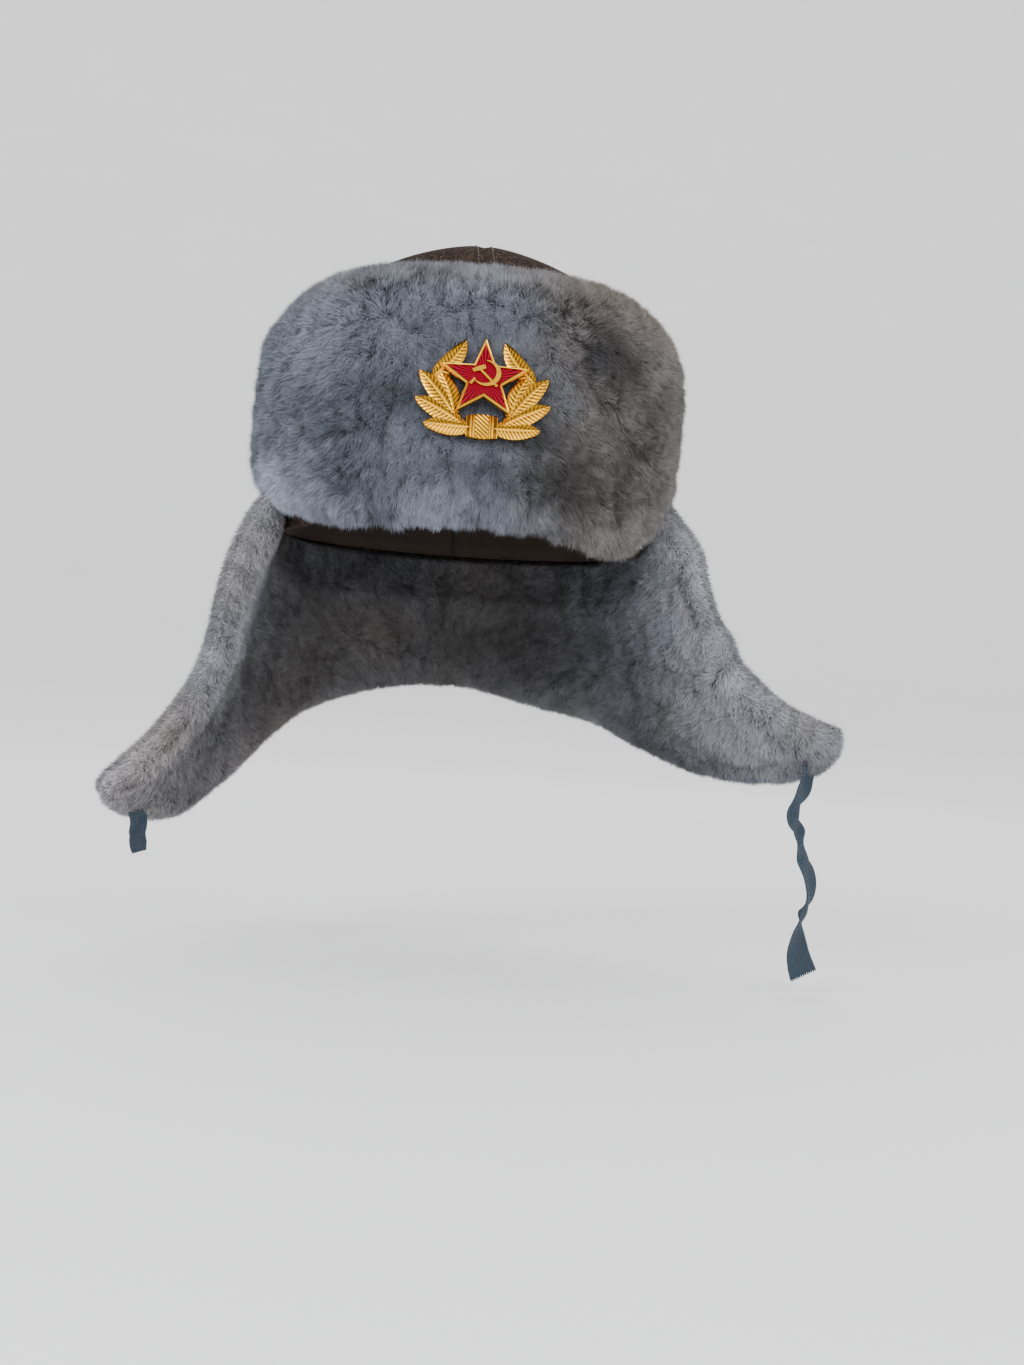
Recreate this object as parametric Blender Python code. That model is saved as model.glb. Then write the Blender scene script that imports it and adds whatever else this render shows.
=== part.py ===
"""Ushanka: a wool cap with a fur front flap, fur-lined ear and neck flaps and a star cockade.

Metres, +Z up. The front faces -Y and the wearer's left is +X. The origin is the middle of the
head opening, in the plane of the crown's lower edge.
"""

import math
from collections import namedtuple

import bmesh
import bpy
import numpy as np
from mathutils import Matrix, Vector

# Crown
HEAD_WIDTH = 0.166  # inside the crown at its lower edge, ear to ear
HEAD_DEPTH = 0.198  # inside the crown at its lower edge, front to back
CROWN_HEIGHT = 0.140
CROWN_WALL = 0.003
CROWN_SQUARENESS = 4.5  # a higher number keeps the sides upright for longer
CROWN_ROUNDNESS = 0.55  # a lower number makes the top flatter
SEAM_DIP = 0.0016  # how far the seam pulls the crown in
SEAM_DIP_WIDTH = 0.007

# Front flap
FRONT_HEIGHT = 0.117
FRONT_REACH = math.radians(84)  # how far round the head each end goes
FRONT_CLOTH = 0.0022
FRONT_PILE = 0.0165
FRONT_LEAN = 0.95  # the share of the crown's curve that the flap follows at the front
SIDE_LEAN = 0.50  # and at its ends
END_PILE = 0.25  # share of the pile that is left at each end
END_SQUARENESS = 24
EDGE_SQUARENESS, EDGE_ROUNDNESS = 5, 0.45  # of the pile's profile from the lower to the upper edge

# Ear and neck flaps
EAR_LENGTH = 0.165
NECK_LENGTH = 0.072
FLAP_CLOTH = 0.0025
FLAP_PILE = 0.013
FLAP_ROLL = 0.0055  # the fur that curls round the cloth's edge
FLAP_EDGE = 0.010  # the fur stands past the cloth by this
FLAP_START = 0.28  # share of the pile that is left where the flap is sewn to the crown
EDGE_PILE = 0.12  # and at its free edges
EDGE_STEPS = [0.0, 0.3, 0.7]  # rows of points in the curl at a free edge, as shares of FLAP_EDGE
ROLL_STEP = 0.6  # share of FLAP_EDGE over which the curl of the fur grows

# Fur locks
LOCK_WIDTH = 0.019
LOCK_LENGTH = 0.017
LOCK_DEPTH = 0.0032

# Cockade
BADGE_HEIGHT = 0.061  # the star's middle above the lower edge of the crown
BADGE_LEAN = math.radians(20.5)
BADGE_SINK = 0.0062  # how deep the pile takes it
WREATH_WIDTH = 0.0575
WREATH_THICKNESS = 0.0019
STAR_RADIUS = 0.0192
STAR_WAIST = 0.40  # inner corners' radius as a share of the star's
STAR_THICKNESS = 0.0026
STAR_RIM = 0.0010  # width
STAR_RECESS = 0.0011
ENAMEL_THICKNESS = 0.0005
EMBLEM_THICKNESS = 0.0007
POST_RADIUS = 0.0016
POST_LENGTH = 0.0090

# Ties
TIE_LENGTH = 0.100
TIE_WIDTH = 0.014
TIE_THICKNESS = 0.0013

GAP = 0.0003  # between pieces that touch
CLOTH_TRIM = 0.12  # share of a facet that a cloth stops short of the fur's curl by
SMALLEST = 1e-6

RIM_SIDE = HEAD_WIDTH / 2 + CROWN_WALL
RIM_FRONT = HEAD_DEPTH / 2 + CROWN_WALL

# The front flap's outline: share of the reach, then its lower and upper edge as shares of the height
Outline = namedtuple("Outline", "reach low high")
FRONT_OUTLINE = [
    Outline(0.00, -0.010, 1.000),
    Outline(0.35, -0.030, 1.000),
    Outline(0.55, -0.015, 0.988),
    Outline(0.70, 0.030, 0.950),
    Outline(0.85, 0.085, 0.872),
    Outline(1.00, 0.165, 0.760),
]

# A row for each rib of a flap, from its front edge to the middle of the back: where it is sewn on,
# its length as shares of the ear and the neck length, the way it swings in plan from straight
# sideways, and how far it tilts out from hanging down at its root, its thirds and its end
Rib = namedtuple("Rib", "azimuth ear neck swing root third two_thirds end")
NECK_RIBS = [
    Rib(150, 0.10, 0.88, 62, 38, 12, 4, 2),
    Rib(168, 0.00, 1.02, 82, 38, 14, 4, 0),
    Rib(180, 0.00, 1.00, 90, 38, 14, 4, 0),
]
LEFT_RIBS = [
    Rib(60, 0.85, 0.00, -7, 107, 28, 56, 80),
    Rib(72, 0.85, 0.00, -5, 78, 26, 46, 76),
    Rib(88, 0.73, 0.00, -5, 56, 17, 26, 52),
    Rib(110, 0.50, 0.28, -8, 38, 14, 16, 22),
    Rib(130, 0.36, 0.40, 12, 36, 12, 10, 10),
] + NECK_RIBS
RIGHT_RIBS = [
    Rib(60, 0.95, 0.00, 13, 95, 10, 34, 54),
    Rib(72, 0.98, 0.00, 12, 66, 14, 32, 42),
    Rib(88, 0.91, 0.00, 8, 48, 10, 16, 34),
    Rib(110, 0.66, 0.20, 0, 32, 11, 12, 18),
    Rib(130, 0.42, 0.38, 16, 36, 10, 8, 8),
] + NECK_RIBS

# Creases: place across and along the flap, half widths there, and depth as a share of the pile
Crease = namedtuple("Crease", "across along wide tall depth")
LEFT_CREASES = [
    Crease(0.10, 0.22, 0.20, 0.050, 0.22),
    Crease(0.14, 0.47, 0.16, 0.045, 0.28),
    Crease(0.20, 0.62, 0.16, 0.045, 0.22),
    Crease(0.24, 0.84, 0.10, 0.065, 0.45),
    Crease(0.62, 0.55, 0.05, 0.400, 0.25),
]
RIGHT_CREASES = [
    Crease(0.13, 0.90, 0.06, 0.055, 0.45),
    Crease(0.30, 0.40, 0.07, 0.350, 0.30),
    Crease(0.62, 0.50, 0.05, 0.400, 0.25),
]

# Leaves of the wreath's left branch, as shares of half its width: where each starts and ends,
# its width, and how far its middle bows outwards
Leaf = namedtuple("Leaf", "start_x start_y tip_x tip_y width bow")
LEAVES = [
    Leaf(-0.15, -0.77, -0.85, -0.77, 0.36, 0.00),
    Leaf(-0.36, -0.72, -1.00, -0.33, 0.34, 0.00),
    Leaf(-0.52, -0.58, -0.95, 0.10, 0.34, 0.00),
    Leaf(-0.66, -0.28, -0.28, 0.66, 0.35, 0.10),
    Leaf(-0.26, -0.78, -0.50, -0.20, 0.28, 0.00),
    Leaf(-0.48, -0.52, -0.60, 0.10, 0.30, 0.00),
]
BAND_SHARE, BAND_LOW, BAND_HIGH = 0.48, -0.93, -0.57
BAND_BULGE = 0.08  # share of its height that the band bulges by, up and down
BAND_RISE = 1.15  # its greatest thickness, as a share of the wreath's

# Hammer and sickle, as shares of the star's radius: points of each bar's middle line, and its width
Bar = namedtuple("Bar", "x y width")
SICKLE_MIDDLE_X, SICKLE_MIDDLE_Y, SICKLE_REACH = 0.010, 0.125, 0.302
SICKLE_FROM, SICKLE_TO = 86, -145  # degrees
SICKLE_THIN, SICKLE_THICK = 0.018, 0.106
SICKLE_GRIP = [Bar(-0.219, -0.026, 0.031), Bar(-0.255, -0.099, 0.052), Bar(-0.313, -0.172, 0.068)]
HAMMER_HANDLE = [Bar(-0.130, 0.219, 0.047), Bar(0.073, 0.010, 0.049), Bar(0.281, -0.208, 0.057)]
HAMMER_HEAD = [Bar(-0.266, 0.151, 0.078), Bar(-0.125, 0.214, 0.109), Bar(0.010, 0.266, 0.099)]
GRIP_RISE, HANDLE_RISE, HEAD_RISE = 1.1, 1.2, 1.3  # thickness as shares of the emblem's

# The ties' routes from top to bottom: how far out, back and up each point lies from the front corner
# of the ear flap's free edge, as shares of TIE_LENGTH, and the turn of the tape's face in degrees
TiePoint = namedtuple("TiePoint", "out back up turn")
LEFT_TIE = [
    TiePoint(-0.167, 0.131, -0.248, 62),
    TiePoint(-0.182, 0.126, -0.298, 60),
    TiePoint(-0.197, 0.116, -0.363, 66),
    TiePoint(-0.182, 0.111, -0.443, 66),
    TiePoint(-0.167, 0.116, -0.533, 68),
    TiePoint(-0.133, 0.126, -0.623, 70),
    TiePoint(-0.107, 0.131, -0.713, 72),
    TiePoint(-0.097, 0.131, -0.793, 74),
    TiePoint(-0.122, 0.126, -0.873, 70),
    TiePoint(-0.141, 0.121, -0.953, 58),
    TiePoint(-0.135, 0.116, -1.033, 44),
    TiePoint(-0.117, 0.116, -1.113, 30),
    TiePoint(-0.102, 0.121, -1.173, 22),
]
RIGHT_TIE = [
    TiePoint(-0.147, 0.103, -0.242, 60),
    TiePoint(-0.151, 0.103, -0.272, 65),
    TiePoint(-0.157, 0.098, -0.307, 62),
    TiePoint(-0.163, 0.098, -0.342, 68),
]

# Colours
WOOL = (0.075, 0.058, 0.048, 1)
FUR = (0.125, 0.130, 0.155, 1)
GOLD = (0.700, 0.430, 0.120, 1)
RED = (0.320, 0.008, 0.018, 1)
TAPE = (0.050, 0.085, 0.125, 1)


def clear_scene():
    for thing in list(bpy.data.objects):
        bpy.data.objects.remove(thing, do_unlink=True)


def collection(name):
    made = bpy.data.collections.new(name)
    bpy.context.scene.collection.children.link(made)
    return made


def material(name, colour, roughness, metallic=0.0):
    made = bpy.data.materials.new(name)
    made.use_nodes = True
    shader = made.node_tree.nodes["Principled BSDF"]
    shader.inputs["Base Color"].default_value = colour
    shader.inputs["Roughness"].default_value = roughness
    shader.inputs["Metallic"].default_value = metallic
    made.diffuse_color = colour
    return made


def through(x, xs, ys):
    """A smooth curve through the points (xs, ys), read at x."""
    xs, ys = np.asarray(xs, float), np.asarray(ys, float)
    slopes = np.gradient(ys, xs)
    i = np.clip(np.searchsorted(xs, x, side="right") - 1, 0, len(xs) - 2)
    step = xs[i + 1] - xs[i]
    t = np.clip((x - xs[i]) / step, 0, 1)
    from_start, from_end = slopes[i] * step, slopes[i + 1] * step
    return (
        (2 * t**3 - 3 * t**2 + 1) * ys[i]
        + (t**3 - 2 * t**2 + t) * from_start
        + (3 * t**2 - 2 * t**3) * ys[i + 1]
        + (t**3 - t**2) * from_end
    )


def column(rows, name):
    return [getattr(row, name) for row in rows]


def locks(across, along):
    """Overlapping fur locks in staggered rows: 0 between them, 1 on a lock's crest."""
    row = np.floor(along)
    part = along - row
    across = across + row / 2
    size = 0.75 + 0.25 * np.sin(4.1 * np.floor(across + 0.5) + 2.3 * row)
    ridge = 0.5 + 0.5 * np.cos(2 * math.pi * across)
    return size * ridge * (0.35 + 0.65 * np.sin(math.pi * part) ** 0.7)


def mesh_object(name, shape, surface, group):
    """The mesh of a bmesh, closed and facing out, as an object of the group."""
    bmesh.ops.remove_doubles(shape, verts=shape.verts, dist=SMALLEST)
    bmesh.ops.dissolve_degenerate(shape, edges=shape.edges, dist=SMALLEST)
    bmesh.ops.recalc_face_normals(shape, faces=shape.faces)
    mesh = bpy.data.meshes.new(name)
    shape.to_mesh(mesh)
    shape.free()
    mesh.shade_smooth()
    mesh.set_sharp_from_angle(angle=math.radians(50))
    mesh.materials.append(surface)
    made = bpy.data.objects.new(name, mesh)
    group.objects.link(made)
    return made


def slab(name, front, back, surface, group):
    """A closed solid between two grids of points with as many rows and columns."""
    shape = bmesh.new()
    rows, columns = front.shape[:2]
    a = [[shape.verts.new(p) for p in row] for row in front]
    b = [[shape.verts.new(p) for p in row] for row in back]
    for i in range(rows - 1):
        for j in range(columns - 1):
            shape.faces.new((a[i][j], a[i + 1][j], a[i + 1][j + 1], a[i][j + 1]))
            shape.faces.new((b[i][j], b[i][j + 1], b[i + 1][j + 1], b[i + 1][j]))
    for i in range(rows - 1):
        for j in (0, columns - 1):
            shape.faces.new((a[i][j], a[i + 1][j], b[i + 1][j], b[i][j]))
    for j in range(columns - 1):
        for i in (0, rows - 1):
            shape.faces.new((a[i][j], a[i][j + 1], b[i][j + 1], b[i][j]))
    return mesh_object(name, shape, surface, group)


def rings(name, sections, surface, group):
    """A closed solid lofted through closed sections, with a face at each end."""
    shape = bmesh.new()
    made = [[shape.verts.new(p) for p in section] for section in sections]
    count = len(made[0])
    for one, two in zip(made, made[1:]):
        for k in range(count):
            following = (k + 1) % count
            shape.faces.new((one[k], one[following], two[following], two[k]))
    shape.faces.new(made[0])
    shape.faces.new(made[-1])
    return mesh_object(name, shape, surface, group)


def cut_or_join(target, other, operation):
    """A Boolean on the target with a helper object that isn't part of the hat."""
    other.hide_render = True
    other.display_type = "WIRE"
    step = target.modifiers.new(other.name, "BOOLEAN")
    step.operation = operation
    step.object = other
    step.solver = "EXACT"


def crown_girth(height):
    """The crown's half widths at a height, as a share of those at its lower edge."""
    share = np.clip(np.asarray(height, float) / CROWN_HEIGHT, 0, 1)
    return (1 - share**CROWN_SQUARENESS) ** CROWN_ROUNDNESS


def crown_points(azimuth, height, inset):
    """Points of the crown's surface, moved inwards by the inset."""
    share = height / CROWN_HEIGHT
    side, front, top = RIM_SIDE - inset, RIM_FRONT - inset, CROWN_HEIGHT - inset
    girth = crown_girth(height)
    x = side * girth * np.sin(azimuth)
    y = -front * girth * np.cos(azimuth)
    dip = SEAM_DIP * np.exp(-((x / SEAM_DIP_WIDTH) ** 2)) * np.clip(2 * share - 1, 0, 1)
    return np.stack([x, y, top * share - dip], axis=-1)


def crown_half(name, side, wool, group):
    """Half the crown, on the side +1 or -1, from the front of the rim to its back."""
    climb = np.linspace(0, 1, 12)
    height = CROWN_HEIGHT * np.sin(climb * math.pi / 2) ** 0.9
    azimuth = np.linspace(0, math.pi, 20)
    azimuth, height = np.meshgrid(azimuth, height)
    outer = crown_points(azimuth, height, 0)
    inner = crown_points(azimuth, height, CROWN_WALL)
    for grid in (outer, inner):
        grid[..., 0] = side * np.maximum(grid[..., 0], GAP / 2)
    return slab(name, outer, inner, wool, group)


def front_outline(azimuth):
    """The heights of the front flap's lower and upper edge at an azimuth."""
    reach = np.abs(azimuth) / FRONT_REACH
    share = column(FRONT_OUTLINE, "reach")
    low = through(reach, share, column(FRONT_OUTLINE, "low"))
    high = through(reach, share, column(FRONT_OUTLINE, "high"))
    return low * FRONT_HEIGHT, high * FRONT_HEIGHT


def front_points(azimuth, height, offset):
    """Points of the front flap, at an offset outwards from the crown's rim."""
    lean = FRONT_LEAN + (SIDE_LEAN - FRONT_LEAN) * np.sin(azimuth) ** 2
    follow = 1 - lean * (1 - crown_girth(height))
    x = (RIM_SIDE * follow + offset) * np.sin(azimuth)
    y = -(RIM_FRONT * follow + offset) * np.cos(azimuth)
    return np.stack([x, y, np.asarray(height) + 0 * x], axis=-1)


def fullness(share):
    """The pile's depth from one edge to the other, as a share of the whole."""
    return (1 - np.abs(2 * share - 1) ** EDGE_SQUARENESS) ** EDGE_ROUNDNESS


def badge_matrix():
    """The cockade's frame: X to the wearer's left, Y up its face and Z out of it."""
    surface = front_points(0.0, BADGE_HEIGHT, FRONT_CLOTH + 2 * GAP + FRONT_PILE)
    place = Vector((0, surface[1] + BADGE_SINK, BADGE_HEIGHT))
    return Matrix.Translation(place) @ Matrix.Rotation(math.pi / 2 - BADGE_LEAN, 4, "X")


def press_in(points):
    """Fur points, with those behind the cockade pressed clear of its back."""
    frame = np.array(badge_matrix())
    turn, place = frame[:3, :3], frame[:3, 3]
    local = (points - place) @ turn
    highest = max(column(LEAVES, "tip_y"))
    middle = (BAND_LOW + highest) / 2 * WREATH_WIDTH / 2
    tall = (highest - BAND_LOW) / 2 * WREATH_WIDTH / 2
    margin = LOCK_WIDTH / 4
    wide = WREATH_WIDTH / 2 + margin
    reach = np.hypot(local[..., 0] / wide, (local[..., 1] - middle) / (tall + margin))
    limit = -2 * GAP + np.clip(reach - 1, 0, None) * wide / 2
    local[..., 2] = np.minimum(local[..., 2], limit)
    return local @ turn.T + place


def front_flap(wool, fur, parts, cutters):
    """The turned-up front flap: a sheet of wool against the crown, and the fur on it."""
    azimuths = np.linspace(-1, 1, 45) * FRONT_REACH
    up = (1 - np.cos(np.linspace(0, math.pi, 18))) / 2
    down = (1 + np.cos(np.linspace(0, math.pi, 9)))[1:-1] / 2
    low, high = front_outline(azimuths[1:-1])
    height = low + (high - low) * down[1:-1, None]
    inner = front_points(azimuths[1:-1], height, GAP)
    outer = front_points(azimuths[1:-1], height, GAP + FRONT_CLOTH)
    slab("front_flap_cloth", outer, inner, wool, parts)

    back = FRONT_CLOTH + 2 * GAP
    sections = []
    for azimuth in azimuths:
        low, high = front_outline(azimuth)
        end = (1 - (abs(azimuth) / FRONT_REACH) ** END_SQUARENESS) ** 0.5
        pile = FRONT_PILE * (END_PILE + (1 - END_PILE) * end)
        tuft = locks(RIM_FRONT * azimuth / LOCK_WIDTH, up * FRONT_HEIGHT / LOCK_LENGTH) - 0.5
        out = back + fullness(up) * (pile + end * LOCK_DEPTH * tuft)
        front = press_in(front_points(azimuth, low + (high - low) * up, out))
        behind = front_points(azimuth, low + (high - low) * down, back + 0 * down)
        sections.append(np.concatenate([front, behind]))
    piece = rings("front_flap_fur", sections, fur, parts)
    cutter = badge_post("post_hole", GAP, fur, cutters)
    cut_or_join(piece, cutter, "DIFFERENCE")


def rib_values(ribs, across):
    """Every column of a table of ribs, read at places across the flap from 0 to 1."""
    places = np.linspace(0, 1, len(ribs))
    return Rib(*(through(across, places, column(ribs, name)) for name in Rib._fields))


def flap_length(rib):
    return rib.ear * EAR_LENGTH + rib.neck * NECK_LENGTH


def facing_in(grid):
    """The normals of a flap's grid of points, towards the head."""
    normals = np.cross(np.gradient(grid, axis=1), np.gradient(grid, axis=0))
    return normals / np.linalg.norm(normals, axis=-1, keepdims=True)


def flap_surface(ribs, creases, across, along):
    """The sheet between cloth and fur, as a grid of points, and its normals towards the head."""
    steps = np.linspace(0, 1, 61)
    rib = rib_values(ribs, across)
    tilts = np.stack([rib.root, rib.third, rib.two_thirds, rib.end], axis=1)
    thirds = [0, 1 / 3, 2 / 3, 1]
    tilt = np.radians(np.stack([through(steps, thirds, row) for row in tilts], axis=1))
    half = flap_length(rib) / (len(steps) - 1) / 2
    out, drop = np.sin(tilt), np.cos(tilt)
    out = np.concatenate([0 * half[None], np.cumsum((out[1:] + out[:-1]) * half, axis=0)])
    drop = np.concatenate([0 * half[None], np.cumsum((drop[1:] + drop[:-1]) * half, axis=0)])
    root_side, root_front = RIM_SIDE - FLAP_CLOTH, RIM_FRONT - FLAP_CLOTH
    azimuth, swing = np.radians(rib.azimuth), np.radians(rib.swing)
    x = root_side * np.sin(azimuth) + out * np.cos(swing)
    y = -root_front * np.cos(azimuth) + out * np.sin(swing)
    z = -GAP - FLAP_CLOTH * np.sin(np.radians(rib.root)) - drop
    fine = np.stack([x, y, z], axis=-1)
    normals = facing_in(fine)
    for crease in creases:
        far = ((across - crease.across) / crease.wide) ** 2
        far = far + ((steps[:, None] - crease.along) / crease.tall) ** 2
        fine = fine - normals * (FLAP_PILE * crease.depth * np.exp(-far))[..., None]
    normals = facing_in(fine)
    place = np.clip(along * (len(steps) - 1), 0, len(steps) - 1 - SMALLEST)
    i = place.astype(int)
    part = (place - i)[..., None]
    k = np.arange(len(across))
    points = fine[i, k] * (1 - part) + fine[i + 1, k] * part
    facing = normals[i, k] * (1 - part) + normals[i + 1, k] * part
    return points, facing


def flap(name, side, ribs, creases, wool, fur, group):
    """One ear flap with its half of the neck flap, on the side +1 or -1.

    Returns the front corner of its free edge.
    """
    mirror = np.array([side, 1, 1])
    sewn_arc = math.radians(ribs[-1].azimuth - ribs[0].azimuth)
    width = sewn_arc * (RIM_SIDE + RIM_FRONT) / 2
    edge = FLAP_EDGE / width
    steps = np.array(EDGE_STEPS)
    across = np.concatenate([edge * steps, np.linspace(edge, 1, 18)])
    length = flap_length(rib_values(ribs, across))
    inner = (1 - FLAP_EDGE / length) * np.linspace(0, 1, 14)[:, None] ** 0.9
    outer = 1 - FLAP_EDGE / length * steps[::-1, None]
    along = np.concatenate([inner, outer])
    points, facing = flap_surface(ribs, creases, across, along)

    backed = slice(None, len(inner)), slice(len(steps), None)
    sewn, outwards = points[backed].copy(), facing[backed]
    sewn[:, 0] += (sewn[:, 1] - sewn[:, 0]) * CLOTH_TRIM
    sewn[-1] += (sewn[-2] - sewn[-1]) * CLOTH_TRIM
    outside = sewn - outwards * FLAP_CLOTH
    outside[0, :, 2] = -GAP
    for grid in (sewn, outside):
        grid[..., 0] = np.maximum(grid[..., 0], GAP / 2)
    slab(name + "_cloth", outside * mirror, sewn * mirror, wool, group)

    from_edge = np.minimum(across * width, (1 - along) * length) / FLAP_EDGE
    swell = np.clip(from_edge / 2, 0, 1)
    swell = EDGE_PILE + (1 - EDGE_PILE) * np.sqrt(1 - (1 - swell) ** 2)
    start = FLAP_START + (1 - FLAP_START) * np.clip(along * length / (1.5 * FLAP_PILE), 0, 1)
    tuft = locks(across * width / LOCK_WIDTH, along * length / LOCK_LENGTH) - 0.5
    pile = swell * start * (FLAP_PILE + LOCK_DEPTH * tuft * np.clip(from_edge, 0, 1))
    roll = FLAP_ROLL * np.sqrt(np.clip(from_edge / ROLL_STEP, 0, 1))
    roll = roll * np.clip(along * length / FLAP_PILE, 0, 1)
    back = points + facing * np.where(from_edge < 1 - SMALLEST, -roll, GAP)[..., None]
    front = points + facing * (GAP + pile)[..., None]
    for grid in (front, back):
        grid[..., 0] = np.maximum(grid[..., 0], GAP / 2)
    slab(name + "_fur", front * mirror, back * mirror, fur, group)
    return points[-1, 0] * mirror


def place_on_badge(piece):
    """Apply a flat piece's Booleans, which are surest before it is turned, and set it on the flap."""
    helpers = [step.object for step in piece.modifiers]
    graph = bpy.context.evaluated_depsgraph_get()
    piece.data = bpy.data.meshes.new_from_object(piece.evaluated_get(graph))
    piece.modifiers.clear()
    for helper in helpers:
        bpy.data.objects.remove(helper, do_unlink=True)
    piece.data.transform(badge_matrix())


def leaf(name, row, side, back, gold, group):
    """One pointed leaf with a ridge along its middle. Its back lies a little behind the others'."""
    half = WREATH_WIDTH / 2
    start = np.array([row.start_x * side * -1, row.start_y]) * half
    tip = np.array([row.tip_x * side * -1, row.tip_y]) * half
    way = (tip - start) / np.linalg.norm(tip - start)
    across = np.array([-way[1], way[0]]) * -side
    sections = []
    for share in (0.0, 0.14, 0.38, 0.65, 0.88, 0.99):
        middle = start + (tip - start) * share
        middle = middle + across * row.bow * half * math.sin(math.pi * share) * -1
        wide = row.width * half / 2 * math.sin(math.pi * share**0.75) ** 0.8 + WREATH_WIDTH / 300
        low, high = WREATH_THICKNESS * 0.5, WREATH_THICKNESS * (1 - 0.2 * share)
        left, right = middle + across * wide, middle - across * wide
        sections.append(
            [(*left, -back), (*right, -back), (*right, low), (*middle, high), (*left, low)]
        )
    return rings(name, sections, gold, group)


def wreath(gold, parts, cutters):
    """Two branches of leaves, bound at the bottom by a band, cast as one."""
    half = WREATH_WIDTH / 2
    wide = BAND_SHARE * half / 2
    low, high = BAND_LOW * half, BAND_HIGH * half
    bulge = (high - low) * BAND_BULGE
    sections = []
    for share in (-1.0, -0.5, 0.0, 0.5, 1.0):
        x, more = wide * share, bulge * (1 - share**2)
        top = WREATH_THICKNESS * (BAND_RISE - 0.1 * share**2)
        foot, head = low - more, high + more
        sections.append([(x, foot, 0), (x, head, 0), (x, head, top), (x, foot, top)])
    band = rings("badge_wreath", sections, gold, parts)
    for side in (1, -1):
        for number, row in enumerate(LEAVES):
            name = f"leaf_{'left' if side > 0 else 'right'}_{number + 1}"
            back = (number + 1) * WREATH_THICKNESS / 60
            cut_or_join(band, leaf(name, row, side, back, gold, cutters), "UNION")
    place_on_badge(band)


def star_ring(radius, height):
    """A five-pointed star's ten corners at a height, the first one pointing up."""
    corners = []
    for k in range(10):
        reach = radius * (STAR_WAIST if k % 2 else 1)
        turn = math.pi * k / 5
        corners.append((reach * math.sin(turn), reach * math.cos(turn), height))
    return corners


def star(gold, red, group):
    """A dish with a raised rim, and the enamel that fills it."""
    base = WREATH_THICKNESS * BAND_RISE + GAP
    top = base + STAR_THICKNESS
    floor = top - STAR_RECESS
    # Between a star's neighbouring corners: the angle of its side with the line to its middle
    across = STAR_WAIST * math.sin(math.pi / 5)
    side_angle = math.atan2(across, 1 - STAR_WAIST * math.cos(math.pi / 5))
    inner = STAR_RADIUS - STAR_RIM / math.sin(side_angle)
    dish = [
        star_ring(STAR_RADIUS, base),
        star_ring(STAR_RADIUS, top),
        star_ring(inner, top),
        star_ring(inner, floor),
    ]
    place_on_badge(rings("badge_star", dish, gold, group))
    filling = inner - GAP / math.sin(side_angle)
    enamel = [
        star_ring(filling, floor + GAP),
        star_ring(filling, floor + GAP + ENAMEL_THICKNESS),
    ]
    place_on_badge(rings("badge_enamel", enamel, red, group))
    return floor + GAP + ENAMEL_THICKNESS


def bar(name, rows, low, high, surface, group):
    """A flat bar on the enamel through the points of its rows."""
    route = np.stack([column(rows, "x"), column(rows, "y")], axis=1) * STAR_RADIUS
    way = np.gradient(route, axis=0)
    way /= np.linalg.norm(way, axis=1)[:, None]
    across = np.stack([-way[:, 1], way[:, 0]], axis=1)
    across *= (np.array(column(rows, "width")) * STAR_RADIUS / 2)[:, None]
    sections = []
    for left, right in zip(route + across, route - across):
        sections.append([(*left, low), (*right, low), (*right, high), (*left, high)])
    return rings(name, sections, surface, group)


def sickle_rows():
    """The blade: an arc that swells in its middle and ends in a point."""
    rows = []
    for share in np.linspace(0, 1, 15):
        turn = math.radians(SICKLE_FROM + (SICKLE_TO - SICKLE_FROM) * share)
        x = SICKLE_MIDDLE_X + SICKLE_REACH * math.cos(turn)
        y = SICKLE_MIDDLE_Y + SICKLE_REACH * math.sin(turn)
        swell = math.sin(math.pi * share**0.9) ** 1.3
        rows.append(Bar(x, y, SICKLE_THIN + (SICKLE_THICK - SICKLE_THIN) * swell))
    return rows


def emblem(enamel_top, gold, parts, cutters):
    """A hammer across a sickle, raised on the enamel."""
    low = enamel_top + GAP
    sickle = bar("badge_emblem", sickle_rows(), low, low + EMBLEM_THICKNESS, gold, parts)
    others = [
        ("sickle_grip", SICKLE_GRIP, GRIP_RISE),
        ("hammer_handle", HAMMER_HANDLE, HANDLE_RISE),
        ("hammer_head", HAMMER_HEAD, HEAD_RISE),
    ]
    for name, rows, rise in others:
        other = bar(name, rows, low, low + EMBLEM_THICKNESS * rise, gold, cutters)
        cut_or_join(sickle, other, "UNION")
    place_on_badge(sickle)


def badge_post(name, clearance, surface, group):
    """The pin behind the star, or with a clearance the hole that it goes in."""
    top = WREATH_THICKNESS * BAND_RISE + clearance
    low = -POST_LENGTH - clearance
    shape = bmesh.new()
    bmesh.ops.create_cone(
        shape,
        cap_ends=True,
        segments=14,
        radius1=POST_RADIUS + clearance,
        radius2=POST_RADIUS + clearance,
        depth=top - low,
    )
    bmesh.ops.translate(shape, vec=(0, 0, (top + low) / 2), verts=shape.verts)
    piece = mesh_object(name, shape, surface, group)
    place_on_badge(piece)
    return piece


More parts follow.
